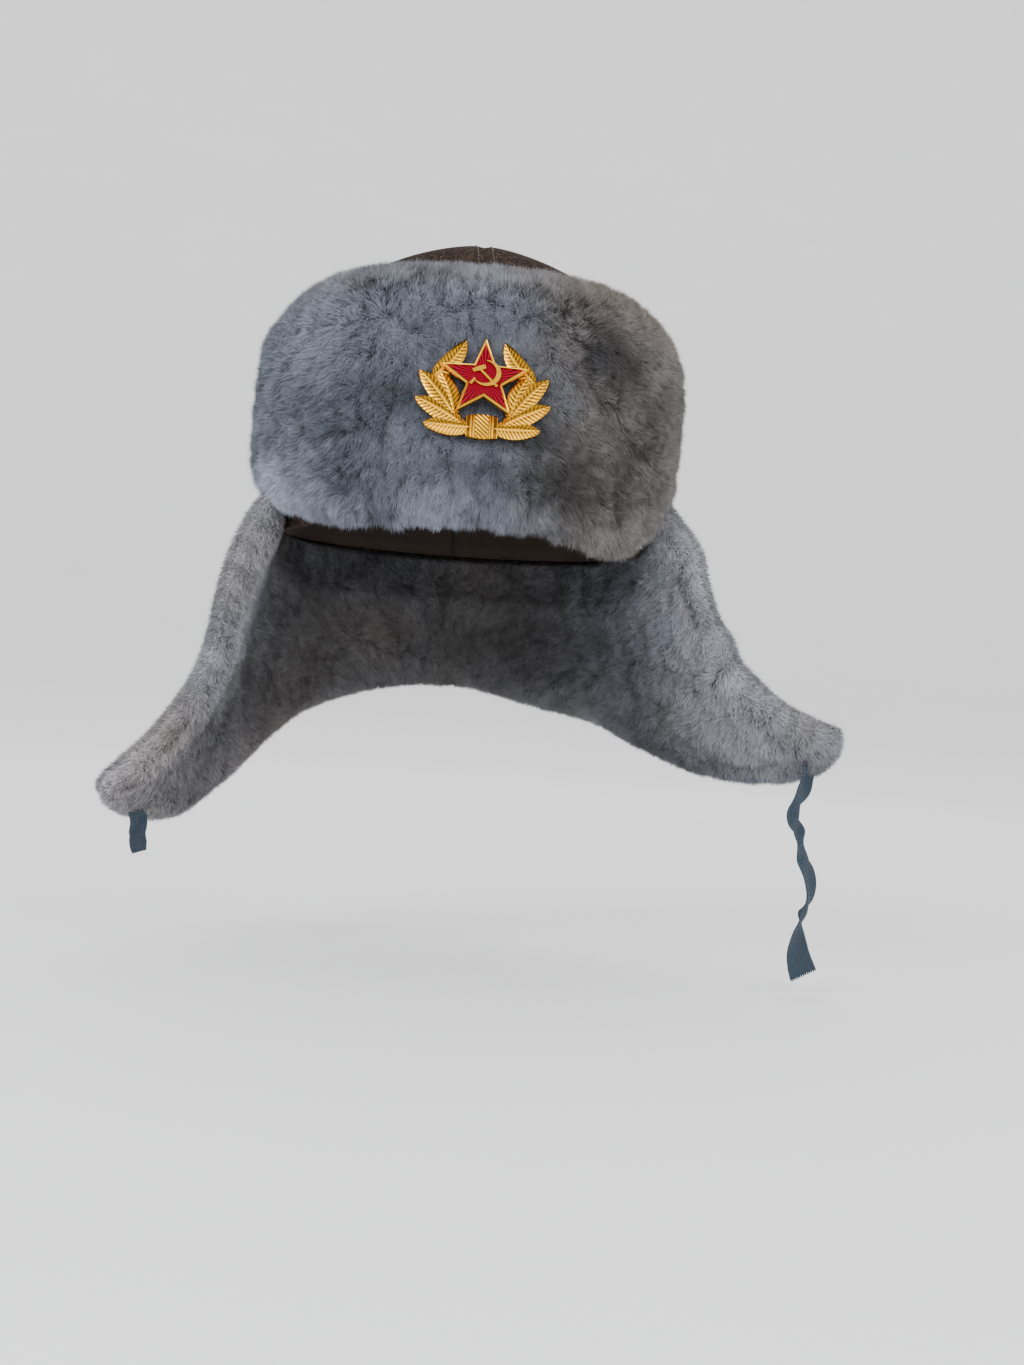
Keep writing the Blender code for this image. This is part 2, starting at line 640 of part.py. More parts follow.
def tie(name, side, route, corner, tape, group):
    """A flat tape below a flap's corner, its face turned by the angles of the route's table."""
    rows = np.linspace(0, 1, 3 * len(route) - 2)
    places = np.linspace(0, 1, len(route))
    shares = [through(rows, places, column(route, way)) for way in ("out", "back", "up")]
    line = corner + np.stack(shares, axis=1) * TIE_LENGTH * [side, 1, 1]
    turn = np.radians(through(rows, places, column(route, "turn")))
    way = np.gradient(line, axis=0)
    way /= np.linalg.norm(way, axis=1)[:, None]
    across = np.stack([np.cos(turn), np.sin(turn), 0 * turn], axis=1)
    across -= way * (across * way).sum(axis=1)[:, None]
    across /= np.linalg.norm(across, axis=1)[:, None]
    face = np.cross(way, across)
    wide, thick = across * TIE_WIDTH / 2, face * TIE_THICKNESS / 2
    sections = [
        [p - w - t, p + w - t, p + w + t, p - w + t] for p, w, t in zip(line, wide, thick)
    ]
    rings(name, sections, tape, group)


def main():
    clear_scene()
    parts, cutters = collection("ushanka"), collection("cutters")
    wool = material("wool_cloth", WOOL, 0.95)
    fur = material("fur", FUR, 0.85)
    gold = material("gilt_metal", GOLD, 0.32, 1.0)
    red = material("red_enamel", RED, 0.12)
    tape = material("woven_tape", TAPE, 0.85)
    crown_half("crown_left", 1, wool, parts)
    crown_half("crown_right", -1, wool, parts)
    front_flap(wool, fur, parts, cutters)
    left = flap("left_flap", 1, LEFT_RIBS, LEFT_CREASES, wool, fur, parts)
    right = flap("right_flap", -1, RIGHT_RIBS, RIGHT_CREASES, wool, fur, parts)
    wreath(gold, parts, cutters)
    enamel_top = star(gold, red, parts)
    emblem(enamel_top, gold, parts, cutters)
    badge_post("badge_post", 0, gold, parts)
    tie("left_tie", 1, LEFT_TIE, left, tape, parts)
    tie("right_tie", -1, RIGHT_TIE, right, tape, parts)


main()
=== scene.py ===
# %% [markdown]
# # An ushanka
# This winter hat is a wool cap with a deep fur front flap, two fur-lined ear flaps that meet at the
# back, a gilt star cockade and two tape ties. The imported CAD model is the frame: each piece here
# takes its place and its sizes from it, and adds what makes the hat look real, such as pile, felted
# wool, stitches, woven tape and cast relief.

# %% Load the frame
import math

import bmesh
import bpy
import numpy as np
from mathutils import Matrix, Vector


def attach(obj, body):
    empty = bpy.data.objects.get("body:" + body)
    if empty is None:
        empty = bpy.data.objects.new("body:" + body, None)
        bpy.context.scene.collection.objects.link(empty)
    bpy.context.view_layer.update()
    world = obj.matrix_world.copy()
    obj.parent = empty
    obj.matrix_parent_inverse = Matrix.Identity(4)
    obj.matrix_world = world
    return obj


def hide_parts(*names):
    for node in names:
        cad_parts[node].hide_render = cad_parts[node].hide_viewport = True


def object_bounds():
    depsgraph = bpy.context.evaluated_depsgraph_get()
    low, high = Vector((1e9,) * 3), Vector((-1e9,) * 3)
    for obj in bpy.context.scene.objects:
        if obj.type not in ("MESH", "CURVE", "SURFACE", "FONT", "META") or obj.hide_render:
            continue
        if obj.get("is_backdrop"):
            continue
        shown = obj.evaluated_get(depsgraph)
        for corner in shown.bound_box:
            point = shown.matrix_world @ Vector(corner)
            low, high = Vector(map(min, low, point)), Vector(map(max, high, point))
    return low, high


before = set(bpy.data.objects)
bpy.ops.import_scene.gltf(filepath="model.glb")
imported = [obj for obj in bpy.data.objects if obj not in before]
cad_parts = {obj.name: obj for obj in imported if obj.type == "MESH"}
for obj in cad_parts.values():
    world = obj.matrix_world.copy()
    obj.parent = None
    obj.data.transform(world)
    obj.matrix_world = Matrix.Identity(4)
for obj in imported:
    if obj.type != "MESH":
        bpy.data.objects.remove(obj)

cad_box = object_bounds()
hat = bpy.data.collections.new("hat")
bpy.context.scene.collection.children.link(hat)
print("CAD box in metres:", [[round(float(v), 4) for v in corner] for corner in cad_box])

# %% [markdown]
# ## Camera, floor and light
# The hat was photographed from about a metre, a little below its middle and a little from the
# wearer's right, with the phone tipped by four degrees. The camera's three axes are worked out from
# the way it looks and that tip, which is easier to read than three Euler angles. The floor lies
# below the longest tie and curves up all round, like a studio's paper sweep, so no horizon shows.
# One broad window light from the upper left gives the fur its soft side, a weaker one in front and
# a pale world fill the shadows.

# %% Camera
CAMERA_PLACE = Vector((-0.044, -0.999, -0.065))
CAMERA_LOOK = Vector((0.0732, 0.9973, 0.0)).normalized()
CAMERA_TIP = math.radians(4)
CAMERA_LENS = 54.9  # millimetres, on a 36 mm sensor

level = Vector((CAMERA_LOOK.y, -CAMERA_LOOK.x, 0.0))
upright = Vector((0.0, 0.0, 1.0))
camera_right = level * math.cos(CAMERA_TIP) + upright * math.sin(CAMERA_TIP)
camera_up = upright * math.cos(CAMERA_TIP) - level * math.sin(CAMERA_TIP)
turn = Matrix((camera_right, camera_up, -CAMERA_LOOK)).transposed()
camera = bpy.data.objects.new("camera", bpy.data.cameras.new("camera"))
camera.data.lens = CAMERA_LENS
camera.matrix_world = Matrix.Translation(CAMERA_PLACE) @ turn.to_4x4()
bpy.context.scene.collection.objects.link(camera)
bpy.context.scene.camera = camera
print("camera at", tuple(round(v, 3) for v in CAMERA_PLACE))


# %% Node helpers
def add(tree, kind, **inputs):
    """A node of a tree, with its inputs set by name, number or link."""
    node = tree.nodes.new(kind)
    for name, value in inputs.items():
        setting = name.replace("_", " ")
        if hasattr(node, name) and setting not in node.inputs:
            setattr(node, name, value)
            continue
        socket = node.inputs[setting]
        if isinstance(value, bpy.types.NodeSocket):
            tree.links.new(value, socket)
        else:
            socket.default_value = value
    return node


def principled(name, **inputs):
    """A new material, its tree and its main shader."""
    made = bpy.data.materials.new(name)
    made.use_nodes = True
    tree = made.node_tree
    shader = tree.nodes["Principled BSDF"]
    for key, value in inputs.items():
        shader.inputs[key.replace("_", " ")].default_value = value
    return made, tree, shader


def mixed(tree, factor, one, two, blend="MIX"):
    """A colour mix of two colours or links."""
    node = tree.nodes.new("ShaderNodeMix")
    node.data_type, node.blend_type = "RGBA", blend
    for place, value in ((0, factor), (6, one), (7, two)):
        if isinstance(value, bpy.types.NodeSocket):
            tree.links.new(value, node.inputs[place])
        else:
            node.inputs[place].default_value = value
    return node.outputs[2]


def reckon(tree, operation, one, two=0.0, clamp=False):
    """A number worked out from numbers or links."""
    node = tree.nodes.new("ShaderNodeMath")
    node.operation, node.use_clamp = operation, clamp
    for place, value in enumerate((one, two)):
        if isinstance(value, bpy.types.NodeSocket):
            tree.links.new(value, node.inputs[place])
        else:
            node.inputs[place].default_value = value
    return node.outputs[0]


def srgb(red, green, blue):
    """A colour given on a 0 to 255 scale, as the linear values that nodes take."""
    shares = np.array([red, green, blue]) / 255
    linear = np.where(shares <= 0.04045, shares / 12.92, ((shares + 0.055) / 1.055) ** 2.4)
    return (*[float(v) for v in linear], 1.0)


# %% Floor and lights
FLOOR_BELOW_TIES = 0.004
BOWL = [(0.0, 0.0), (2.2, 0.0), (2.7, 0.08), (3.1, 0.32), (3.35, 0.75), (3.45, 1.3), (3.5, 2.4)]

paint, tree, shader = principled("pale_floor", Roughness=0.9)
speckle = add(tree, "ShaderNodeTexNoise", Scale=40.0, Detail=3.0)
shade = mixed(tree, speckle.outputs[0], (0.90, 0.90, 0.90, 1), (0.94, 0.94, 0.94, 1))
tree.links.new(shade, shader.inputs["Base Color"])
bowl = bmesh.new()
rings = []
for reach, rise in BOWL:
    turns = [2 * math.pi * k / 64 for k in range(64 if reach else 1)]
    level = cad_box[0][2] - FLOOR_BELOW_TIES + rise
    rings.append([bowl.verts.new((reach * math.cos(a), reach * math.sin(a), level)) for a in turns])
for k in range(64):
    bowl.faces.new((rings[0][0], rings[1][k], rings[1][(k + 1) % 64]))
    for one, two in zip(rings[1:], rings[2:]):
        bowl.faces.new((one[k], two[k], two[(k + 1) % 64], one[(k + 1) % 64]))
floor_mesh = bpy.data.meshes.new("floor")
bowl.to_mesh(floor_mesh)
bowl.free()
floor_mesh.shade_smooth()
floor_mesh.materials.append(paint)
floor = bpy.data.objects.new("floor", floor_mesh)
bpy.context.scene.collection.objects.link(floor)
floor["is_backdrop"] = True


def window(name, place, size, watts, colour=(1, 1, 1)):
    """A square area light that faces the hat."""
    lamp = bpy.data.lights.new(name, "AREA")
    lamp.size, lamp.energy, lamp.color = size, watts, colour
    made = bpy.data.objects.new(name, lamp)
    made.location = place
    made.rotation_euler = (-Vector(place)).to_track_quat("-Z", "Y").to_euler()
    bpy.context.scene.collection.objects.link(made)


window("window_upper_left", (-1.3, -1.6, 1.1), 1.3, 42, (0.94, 0.97, 1.0))
window("window_front", (0.5, -2.1, 0.80), 1.6, 24)
window("window_right", (1.8, -0.6, 0.75), 1.4, 9, (1.0, 0.96, 0.90))
window("window_behind", (0.3, 1.8, 1.3), 1.6, 16)
world = bpy.data.worlds.new("studio")
world.use_nodes = True
world.node_tree.nodes["Background"].inputs["Color"].default_value = (1, 1, 1, 1)
world.node_tree.nodes["Background"].inputs["Strength"].default_value = 1.05
bpy.context.scene.world = world
print("floor at", round(cad_box[0][2] - FLOOR_BELOW_TIES, 4))

# %% [markdown]
# ## Shape helpers
# Most of the hat is cloth with two faces a few millimetres apart, so one helper closes a grid of
# outer points and a grid of inner points into a solid. Curved outlines are read through short
# tables with a smooth Hermite curve, the same as in the CAD source, so that both agree.


# %% Curves, meshes and noise
def through(x, xs, ys):
    """A smooth curve through the points (xs, ys), read at x."""
    xs, ys = np.asarray(xs, float), np.asarray(ys, float)
    slopes = np.gradient(ys, xs)
    i = np.clip(np.searchsorted(xs, x, side="right") - 1, 0, len(xs) - 2)
    step = xs[i + 1] - xs[i]
    t = np.clip((x - xs[i]) / step, 0, 1)
    from_start, from_end = slopes[i] * step, slopes[i + 1] * step
    return (
        (2 * t**3 - 3 * t**2 + 1) * ys[i]
        + (t**3 - 2 * t**2 + t) * from_start
        + (3 * t**2 - 2 * t**3) * ys[i + 1]
        + (t**3 - t**2) * from_end
    )


def smooth(low, high, x):
    """0 below low, 1 above high, and a soft step between them."""
    t = np.clip((x - low) / (high - low), 0, 1)
    return t * t * (3 - 2 * t)


def hills(x, y, seed):
    """Smooth random hills in a plane, from -1 to 1, about one to each unit square."""
    table = np.random.default_rng(seed).uniform(-1, 1, (64, 64))
    i, j = np.floor(x).astype(int), np.floor(y).astype(int)
    u, v = x - i, y - j
    u, v = u * u * (3 - 2 * u), v * v * (3 - 2 * v)
    corner = [table[(i + a) % 64, (j + b) % 64] for a, b in ((0, 0), (1, 0), (0, 1), (1, 1))]
    near = corner[0] * (1 - u) + corner[1] * u
    far = corner[2] * (1 - u) + corner[3] * u
    return near * (1 - v) + far * v


def make_piece(name, points, faces, surface, attributes=None, outwards=True):
    """A mesh object at the origin, with its place in its mesh."""
    mesh = bpy.data.meshes.new(name)
    mesh.from_pydata(np.asarray(points).tolist(), [], [tuple(f) for f in faces])
    for key, values in (attributes or {}).items():
        values = np.asarray(values, np.float32)
        kind = "FLOAT" if values.ndim == 1 else "FLOAT_VECTOR"
        field = "value" if values.ndim == 1 else "vector"
        mesh.attributes.new(key, kind, "POINT").data.foreach_set(field, values.ravel())
    if outwards:
        shape = bmesh.new()
        shape.from_mesh(mesh)
        bmesh.ops.recalc_face_normals(shape, faces=shape.faces)
        shape.to_mesh(mesh)
        shape.free()
    mesh.shade_smooth()
    mesh.materials.append(surface)
    made = bpy.data.objects.new(name, mesh)
    hat.objects.link(made)
    return made


def grid_quads(rows, columns, start=0):
    """The four-sided faces of a grid of points, row by row."""
    i, j = np.meshgrid(np.arange(rows - 1), np.arange(columns - 1), indexing="ij")
    a = start + (i * columns + j).ravel()
    return np.stack([a, a + columns, a + columns + 1, a + 1], axis=1)


def closed_sheet(name, front, back, surface, attributes=None):
    """A closed solid between two grids of points with as many rows and columns."""
    rows, columns = front.shape[:2]
    count = rows * columns
    rim = [j for j in range(columns)]
    rim += [i * columns + columns - 1 for i in range(1, rows)]
    rim += [(rows - 1) * columns + j for j in range(columns - 2, -1, -1)]
    rim += [i * columns for i in range(rows - 2, 0, -1)]
    faces = list(grid_quads(rows, columns)) + list(grid_quads(rows, columns, count)[:, ::-1])
    for one, two in zip(rim, rim[1:] + rim[:1]):
        faces.append((one, two, two + count, one + count))
    points = np.concatenate([front.reshape(-1, 3), back.reshape(-1, 3)])
    return make_piece(name, points, faces, surface, attributes)


def unit(vectors):
    return vectors / np.maximum(np.linalg.norm(vectors, axis=-1, keepdims=True), 1e-12)


# %% [markdown]
# ## Ties
# Each tie is cotton tape, woven with lengthwise ribs, that crumples where it was knotted and twists
# towards its end. It could be a curve with a flat bevel, but a curve has no ribs and turns its face
# at will. Sections along the route, each with its own turn and curl, keep both in hand. The route's
# points are those of the CAD source. The long tie comes first, because its length is checked.

# %% Woven tape
TIE_WIDTH = 0.014
TIE_THICKNESS = 0.0013
RIB_COUNT = 8
RIB_HEIGHT = 0.00028
RIB_COLUMNS = 6 * RIB_COUNT + 1

tape, tree, shader = principled("woven_tape", Roughness=0.86, Sheen_Weight=0.08)
place = add(tree, "ShaderNodeUVMap", uv_map="tape")
across = add(tree, "ShaderNodeSeparateXYZ", Vector=place.outputs[0])
rib_wave = reckon(tree, "SINE", reckon(tree, "MULTIPLY", across.outputs[0], 2 * math.pi * RIB_COUNT))
pick = add(tree, "ShaderNodeTexWave", Vector=place.outputs[0], Scale=5.0, Distortion=0.4)
pick.bands_direction = "DIAGONAL"
worn = add(tree, "ShaderNodeTexNoise", Vector=place.outputs[0], Scale=2.2, Detail=5.0)
yarn = mixed(tree, worn.outputs[0], srgb(12, 27, 39), srgb(32, 54, 71))
rib_share = reckon(tree, "MULTIPLY_ADD", rib_wave, 0.5)
rib_share.node.inputs[2].default_value = 0.5
# The yarn is darkened nearly to black in the grooves between the ribs: painted shade.
rib_shaded_yarn = mixed(tree, rib_share, srgb(4, 8, 12), yarn)
crossed = mixed(tree, reckon(tree, "MULTIPLY", pick.outputs[1], 0.35), rib_shaded_yarn, srgb(46, 68, 86))
tree.links.new(crossed, shader.inputs["Base Color"])
relief = reckon(tree, "ADD", reckon(tree, "MULTIPLY", rib_share, 0.5), pick.outputs[1])
lift = add(tree, "ShaderNodeBump", Strength=0.5, Distance=0.0002, Height=relief)
tree.links.new(lift.outputs[0], shader.inputs["Normal"])


def tape_route(points):
    """The tape's middle line and the turn of its face, at every half millimetre or so."""
    points = np.array(points)
    places = np.linspace(0, 1, len(points))
    rows = np.linspace(0, 1, 14 * len(points))
    line = np.stack([through(rows, places, points[:, k]) for k in range(4)], axis=1)
    return line[:, :3], np.radians(line[:, 3])


def make_tie(name, node, points, curls):
    """A ribbed tape along a route. Each curl has its place, its reach and its depth in tape widths."""
    line, turns = tape_route(points)
    way = unit(np.gradient(line, axis=0))
    side = np.stack([np.cos(turns), np.sin(turns), 0 * turns], axis=1)
    side = unit(side - way * (side * way).sum(axis=1)[:, None])
    face = np.cross(way, side)
    run = np.concatenate([[0], np.cumsum(np.linalg.norm(np.diff(line, axis=0), axis=1))])
    share = np.linspace(-1, 1, RIB_COLUMNS)
    bend = np.zeros(len(line))
    for middle, wide, depth in curls:
        bend += depth * np.exp(-(((run - middle) / wide) ** 2))
    ribs = RIB_HEIGHT * np.cos(math.pi * RIB_COUNT * (share + 1))
    slump = TIE_WIDTH * bend[:, None] * (share**2 - 0.33)
    narrow = 1 - 0.8 * np.abs(bend)[:, None]
    frayed = 0.0008 * np.sin(41 * share) * smooth(0.985, 1.0, run / run[-1])[:, None]
    grids = []
    for sign in (1, -1):
        lift = slump + sign * (TIE_THICKNESS / 2 - RIB_HEIGHT - ribs * 0.5)
        out = (share * TIE_WIDTH / 2 * narrow)[..., None] * side[:, None]
        grids.append(line[:, None] + out + lift[..., None] * face[:, None] + frayed[..., None] * way[:, None])
    made = closed_sheet(name, grids[0], grids[1], tape)
    layer = made.data.uv_layers.new(name="tape")
    index = np.empty(len(made.data.loops), int)
    made.data.loops.foreach_get("vertex_index", index)
    index = index % (len(line) * RIB_COLUMNS)
    row, column = index // RIB_COLUMNS, index % RIB_COLUMNS
    uv = np.stack([(share[column] + 1) / 2, run[row] / TIE_WIDTH], axis=1)
    layer.data.foreach_set("uv", uv.astype(np.float32).ravel())
    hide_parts(node)
    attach(made, "root")
    return made, line, run[-1]


# %% The long tie
LEFT_TIE = [  # x, y, z and the turn of its face in degrees. It starts inside the fur
    (0.1650, -0.0500, -0.0925, 58),
    (0.1640, -0.0500, -0.1005, 54),
    (0.1632, -0.0505, -0.1055, 52),
    (0.1612, -0.0515, -0.1120, 64),
    (0.1606, -0.0520, -0.1200, 56),
    (0.1634, -0.0515, -0.1290, 64),
    (0.1670, -0.0505, -0.1380, 58),
    (0.1692, -0.0500, -0.1470, 56),
    (0.1700, -0.0500, -0.1550, 66),
    (0.1675, -0.0505, -0.1630, 80),
    (0.1655, -0.0510, -0.1710, 56),
    (0.1656, -0.0515, -0.1790, 32),
    (0.1672, -0.0515, -0.1850, 22),
    (0.1695, -0.0510, -0.1904, 16),
]
LEFT_CURLS = [
    (0.008, 0.006, 0.16), (0.024, 0.005, -0.24), (0.034, 0.004, 0.22), (0.045, 0.005, -0.20), (0.058, 0.007, 0.12),
    (0.072, 0.004, -0.24), (0.084, 0.010, 0.08),
]
left_tie, line, length = make_tie("left_tape", "left_tie", LEFT_TIE, LEFT_CURLS)
print("long tie:", round(length * 1000), "mm")

# %% The short tie
RIGHT_TIE = [
    (-0.1425, -0.0200, -0.1370, 60),
    (-0.1420, -0.0200, -0.1450, 60),
    (-0.1416, -0.0200, -0.1480, 65),
    (-0.1410, -0.0205, -0.1515, 62),
    (-0.1404, -0.0205, -0.1550, 68),
]
right_tie, line, length = make_tie("right_tape", "right_tie", RIGHT_TIE, [(0.005, 0.004, 0.10)])
print("short tie:", round(length * 1000), "mm")

# %% [markdown]
# ## Felted wool
# The cap and the outer side of the flaps are heavy melton: short fibres felted so hard that hardly
# any weave shows, only a salt-and-pepper speckle and a soft bloom on curved edges. Three scales of
# noise give the speckle, the cloudiness and the fuzz.

# %% Wool
wool, tree, shader = principled("wool_cloth", Roughness=1.0, Sheen_Weight=0.0)
shader.inputs["Specular IOR Level"].default_value = 0.05
place = add(tree, "ShaderNodeTexCoord").outputs["Object"]
cloud = add(tree, "ShaderNodeTexNoise", Vector=place, Scale=35.0, Detail=4.0)
fleck = add(tree, "ShaderNodeTexNoise", Vector=place, Scale=760.0, Detail=4.0, Roughness=0.7)
fibre = add(tree, "ShaderNodeTexNoise", Vector=place, Scale=1500.0, Detail=2.0)
base = mixed(tree, cloud.outputs[0], srgb(24, 18, 16), srgb(42, 33, 28))
ramp = add(tree, "ShaderNodeValToRGB", Fac=fleck.outputs[0])
ramp.color_ramp.elements[0].position = 0.54
ramp.color_ramp.elements[1].position = 0.74
flecked = mixed(tree, ramp.outputs[0], base, srgb(118, 100, 82))
dark = reckon(tree, "LESS_THAN", fleck.outputs[0], 0.40)
peppered = mixed(tree, reckon(tree, "MULTIPLY", dark, 0.6), flecked, srgb(14, 11, 10))
inside = add(tree, "ShaderNodeAttribute", attribute_name="inside").outputs["Fac"]
tree.links.new(mixed(tree, inside, peppered, srgb(56, 47, 43)), shader.inputs["Base Color"])
fuzz = reckon(tree, "ADD", fleck.outputs[0], reckon(tree, "MULTIPLY", fibre.outputs[0], 0.5))
lift = add(tree, "ShaderNodeBump", Strength=0.55, Distance=0.0004, Height=fuzz)
tree.links.new(lift.outputs[0], shader.inputs["Normal"])

# %% Crown sizes and surface
HEAD_WIDTH, HEAD_DEPTH = 0.166, 0.198
CROWN_HEIGHT, CROWN_WALL = 0.140, 0.003
CROWN_SQUARENESS, CROWN_ROUNDNESS = 4.5, 0.55
SEAM_DIP = 0.0016
GAP = 0.0003
HEM_DROP = 0.0008  # the turned edge meets the flaps' cloth
BROW_RISE = 0.010  # and rises behind the front flap, which covers the brow
RIM_SIDE, RIM_FRONT = HEAD_WIDTH / 2 + CROWN_WALL, HEAD_DEPTH / 2 + CROWN_WALL


def crown_girth(height):
    """The crown's half widths at a height, as a share of those at its lower edge."""
    share = np.clip(np.asarray(height, float) / CROWN_HEIGHT, 0, 1)
    return (1 - share**CROWN_SQUARENESS) ** CROWN_ROUNDNESS


def crown_points(azimuth, height, inset):
    """Points of the crown's surface, moved inwards by the inset, with the slack of soft cloth."""
    share = height / CROWN_HEIGHT
    side, front, top = RIM_SIDE - inset, RIM_FRONT - inset, CROWN_HEIGHT - inset
    girth = crown_girth(height)
    x, y = side * girth * np.sin(azimuth), -front * girth * np.cos(azimuth)
    pinch = np.exp(-((x / 0.0022) ** 2)) * 0.45 + 1 - np.exp(-((x / 0.022) ** 2))
    dip = SEAM_DIP * pinch * np.clip(2 * share - 1, 0, 1)
    slack = 0.0011 * hills(x / 0.035, y / 0.03, 5) * smooth(0.5, 0.9, share) * (1 - girth * 0.5)
    return np.stack([x, y, top * share - dip + slack], axis=-1)


# %% [markdown]
# ## Crown
# The cap is two domed halves of melton, turned in and joined by one seam from the brow over the top
# to the nape. Each half is a grid over azimuth and height, close where the dome turns over.


# %% Crown halves
def crown_half(name, side):
    climb = np.linspace(0, 1, 56)
    height = CROWN_HEIGHT * np.sin(climb * math.pi / 2) ** 0.9
    azimuth, height = np.meshgrid(np.linspace(0, math.pi, 84), height)
    rise = BROW_RISE * smooth(math.radians(62), math.radians(42), azimuth)
    height = rise + height * (1 - rise / CROWN_HEIGHT)
    outer = crown_points(azimuth, height, 0.0)
    inner = crown_points(azimuth, height, CROWN_WALL)
    for grid in (outer, inner):
        grid[0, :, 2] -= HEM_DROP
        grid[..., 0] = side * np.maximum(grid[..., 0], 0)
    inside = np.concatenate([np.zeros(outer.shape[:2]).ravel(), np.ones(inner.shape[:2]).ravel()])
    made = closed_sheet(name + "_cloth", outer, inner, wool, {"inside": inside})
    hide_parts(name)
    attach(made, "root")
    return made


crown = [crown_half("crown_left", 1), crown_half("crown_right", -1)]
print("crown halves:", [len(half.data.polygons) for half in crown], "faces")

# %% [markdown]
# ## Front flap
# The front flap is a strip of sheepskin turned up against the crown: cloth inside, and a deep dense
# pile outside. The pile is what the eye sees, so it is made in two steps. First a body of pile, a
# closed shape a few millimetres below the surface, takes the flap's outline and its tufts and
# partings. Then strands grow on it. The outline is read through the same table as in the CAD.

# %% Front flap sizes
FRONT_HEIGHT = 0.117
FRONT_REACH = math.radians(84)
FRONT_CLOTH, FRONT_PILE = 0.0022, 0.0165
FRONT_LEAN, SIDE_LEAN = 0.95, 0.50
FRONT_OUTLINE = np.array([  # share of the reach, then the lower and upper edge as shares of the height
    (0.00, -0.010, 1.000),
    (0.35, -0.030, 1.000),
    (0.55, -0.015, 0.988),
    (0.70, 0.030, 0.950),
    (0.85, 0.085, 0.872),
    (1.00, 0.165, 0.760),
])


def front_outline(azimuth):
    reach = np.abs(azimuth) / FRONT_REACH
    low = through(reach, FRONT_OUTLINE[:, 0], FRONT_OUTLINE[:, 1])
    high = through(reach, FRONT_OUTLINE[:, 0], FRONT_OUTLINE[:, 2])
    return low * FRONT_HEIGHT, high * FRONT_HEIGHT


def front_points(azimuth, height, offset):
    lean = FRONT_LEAN + (SIDE_LEAN - FRONT_LEAN) * np.sin(azimuth) ** 2
    follow = 1 - lean * (1 - crown_girth(height))
    x = (RIM_SIDE * follow + offset) * np.sin(azimuth)
    y = -(RIM_FRONT * follow + offset) * np.cos(azimuth)
    return np.stack([x, y, height + 0 * x], axis=-1)


# %% Front flap cloth
def cut_size(grid):
    """The area of a sheet of points and the width and length of its smallest upright rectangle."""
    one, two = np.diff(grid, axis=0)[:, :-1], np.diff(grid, axis=1)[:-1]
    area = np.linalg.norm(np.cross(one, two), axis=-1).sum()
    wide = np.linalg.norm(np.diff(grid, axis=1), axis=-1).sum(axis=1).max()
    tall = np.linalg.norm(np.diff(grid, axis=0), axis=-1).sum(axis=0).max()
    return round(float(area), 5), round(float(wide), 3), round(float(tall), 3)


azimuth = np.linspace(-0.955, 0.955, 120) * FRONT_REACH
low, high = front_outline(azimuth)
height = low + (high - low) * np.linspace(0.10, 0.90, 18)[:, None]
front_cloth = closed_sheet(
    "front_flap_backing",
    front_points(azimuth, height, GAP + FRONT_CLOTH),
    front_points(azimuth, height, GAP),
    wool,
)
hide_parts("front_flap_cloth")
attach(front_cloth, "root")
area, wide, tall = cut_size(front_points(azimuth, height, GAP + FRONT_CLOTH))
print(f"front flap cloth: cut {wide * 1000:.0f} x {tall * 1000:.0f} mm, {area * 1e4:.0f} square centimetres")

# %% [markdown]
# ## Fur
# Shorn sheepskin is dense and cut to an even height. Its strands stand in small tufts whose tips
# lean together, and broad patches look darker or paler, because the pile there lies another way or
# was pressed. Particle hair would look right but doesn't become a mesh, so each strand is a narrow
# blade of one face, and Geometry Nodes set out nearly two hundred thousand of them on each skin. The
# body of pile carries the groom as attributes: which way the strands grow, how long they are, and
# how pale and how warm they are. The tree only scatters and turns the blades.


# %% Groom
def nearest_tuft(s, t, wide, tall, seed):
    """For places on the skin in metres: the way to the tuft's middle, how near its edge, its number."""
    table = np.random.default_rng(seed).uniform(0, 1, (3, 64, 64))
    best = np.full(np.shape(s), 9.0)
    way_s, way_t, number = np.zeros_like(best), np.zeros_like(best), np.zeros_like(best)
    for a in (-1, 0, 1):
        for b in (-1, 0, 1):
            i, j = np.floor(s / wide).astype(int) + a, np.floor(t / tall).astype(int) + b
            jitter = table[:, i % 64, j % 64]
            ds = (i + 0.5 + 0.9 * (jitter[0] - 0.5)) * wide - s
            dt = (j + 0.5 + 0.9 * (jitter[1] - 0.5)) * tall - t
            far = np.sqrt((ds / wide) ** 2 + (dt / tall) ** 2)
            near = far < best
            best = np.where(near, far, best)
            way_s, way_t = np.where(near, ds, way_s), np.where(near, dt, way_t)
            number = np.where(near, jitter[2], number)
    return way_s, way_t, best, number


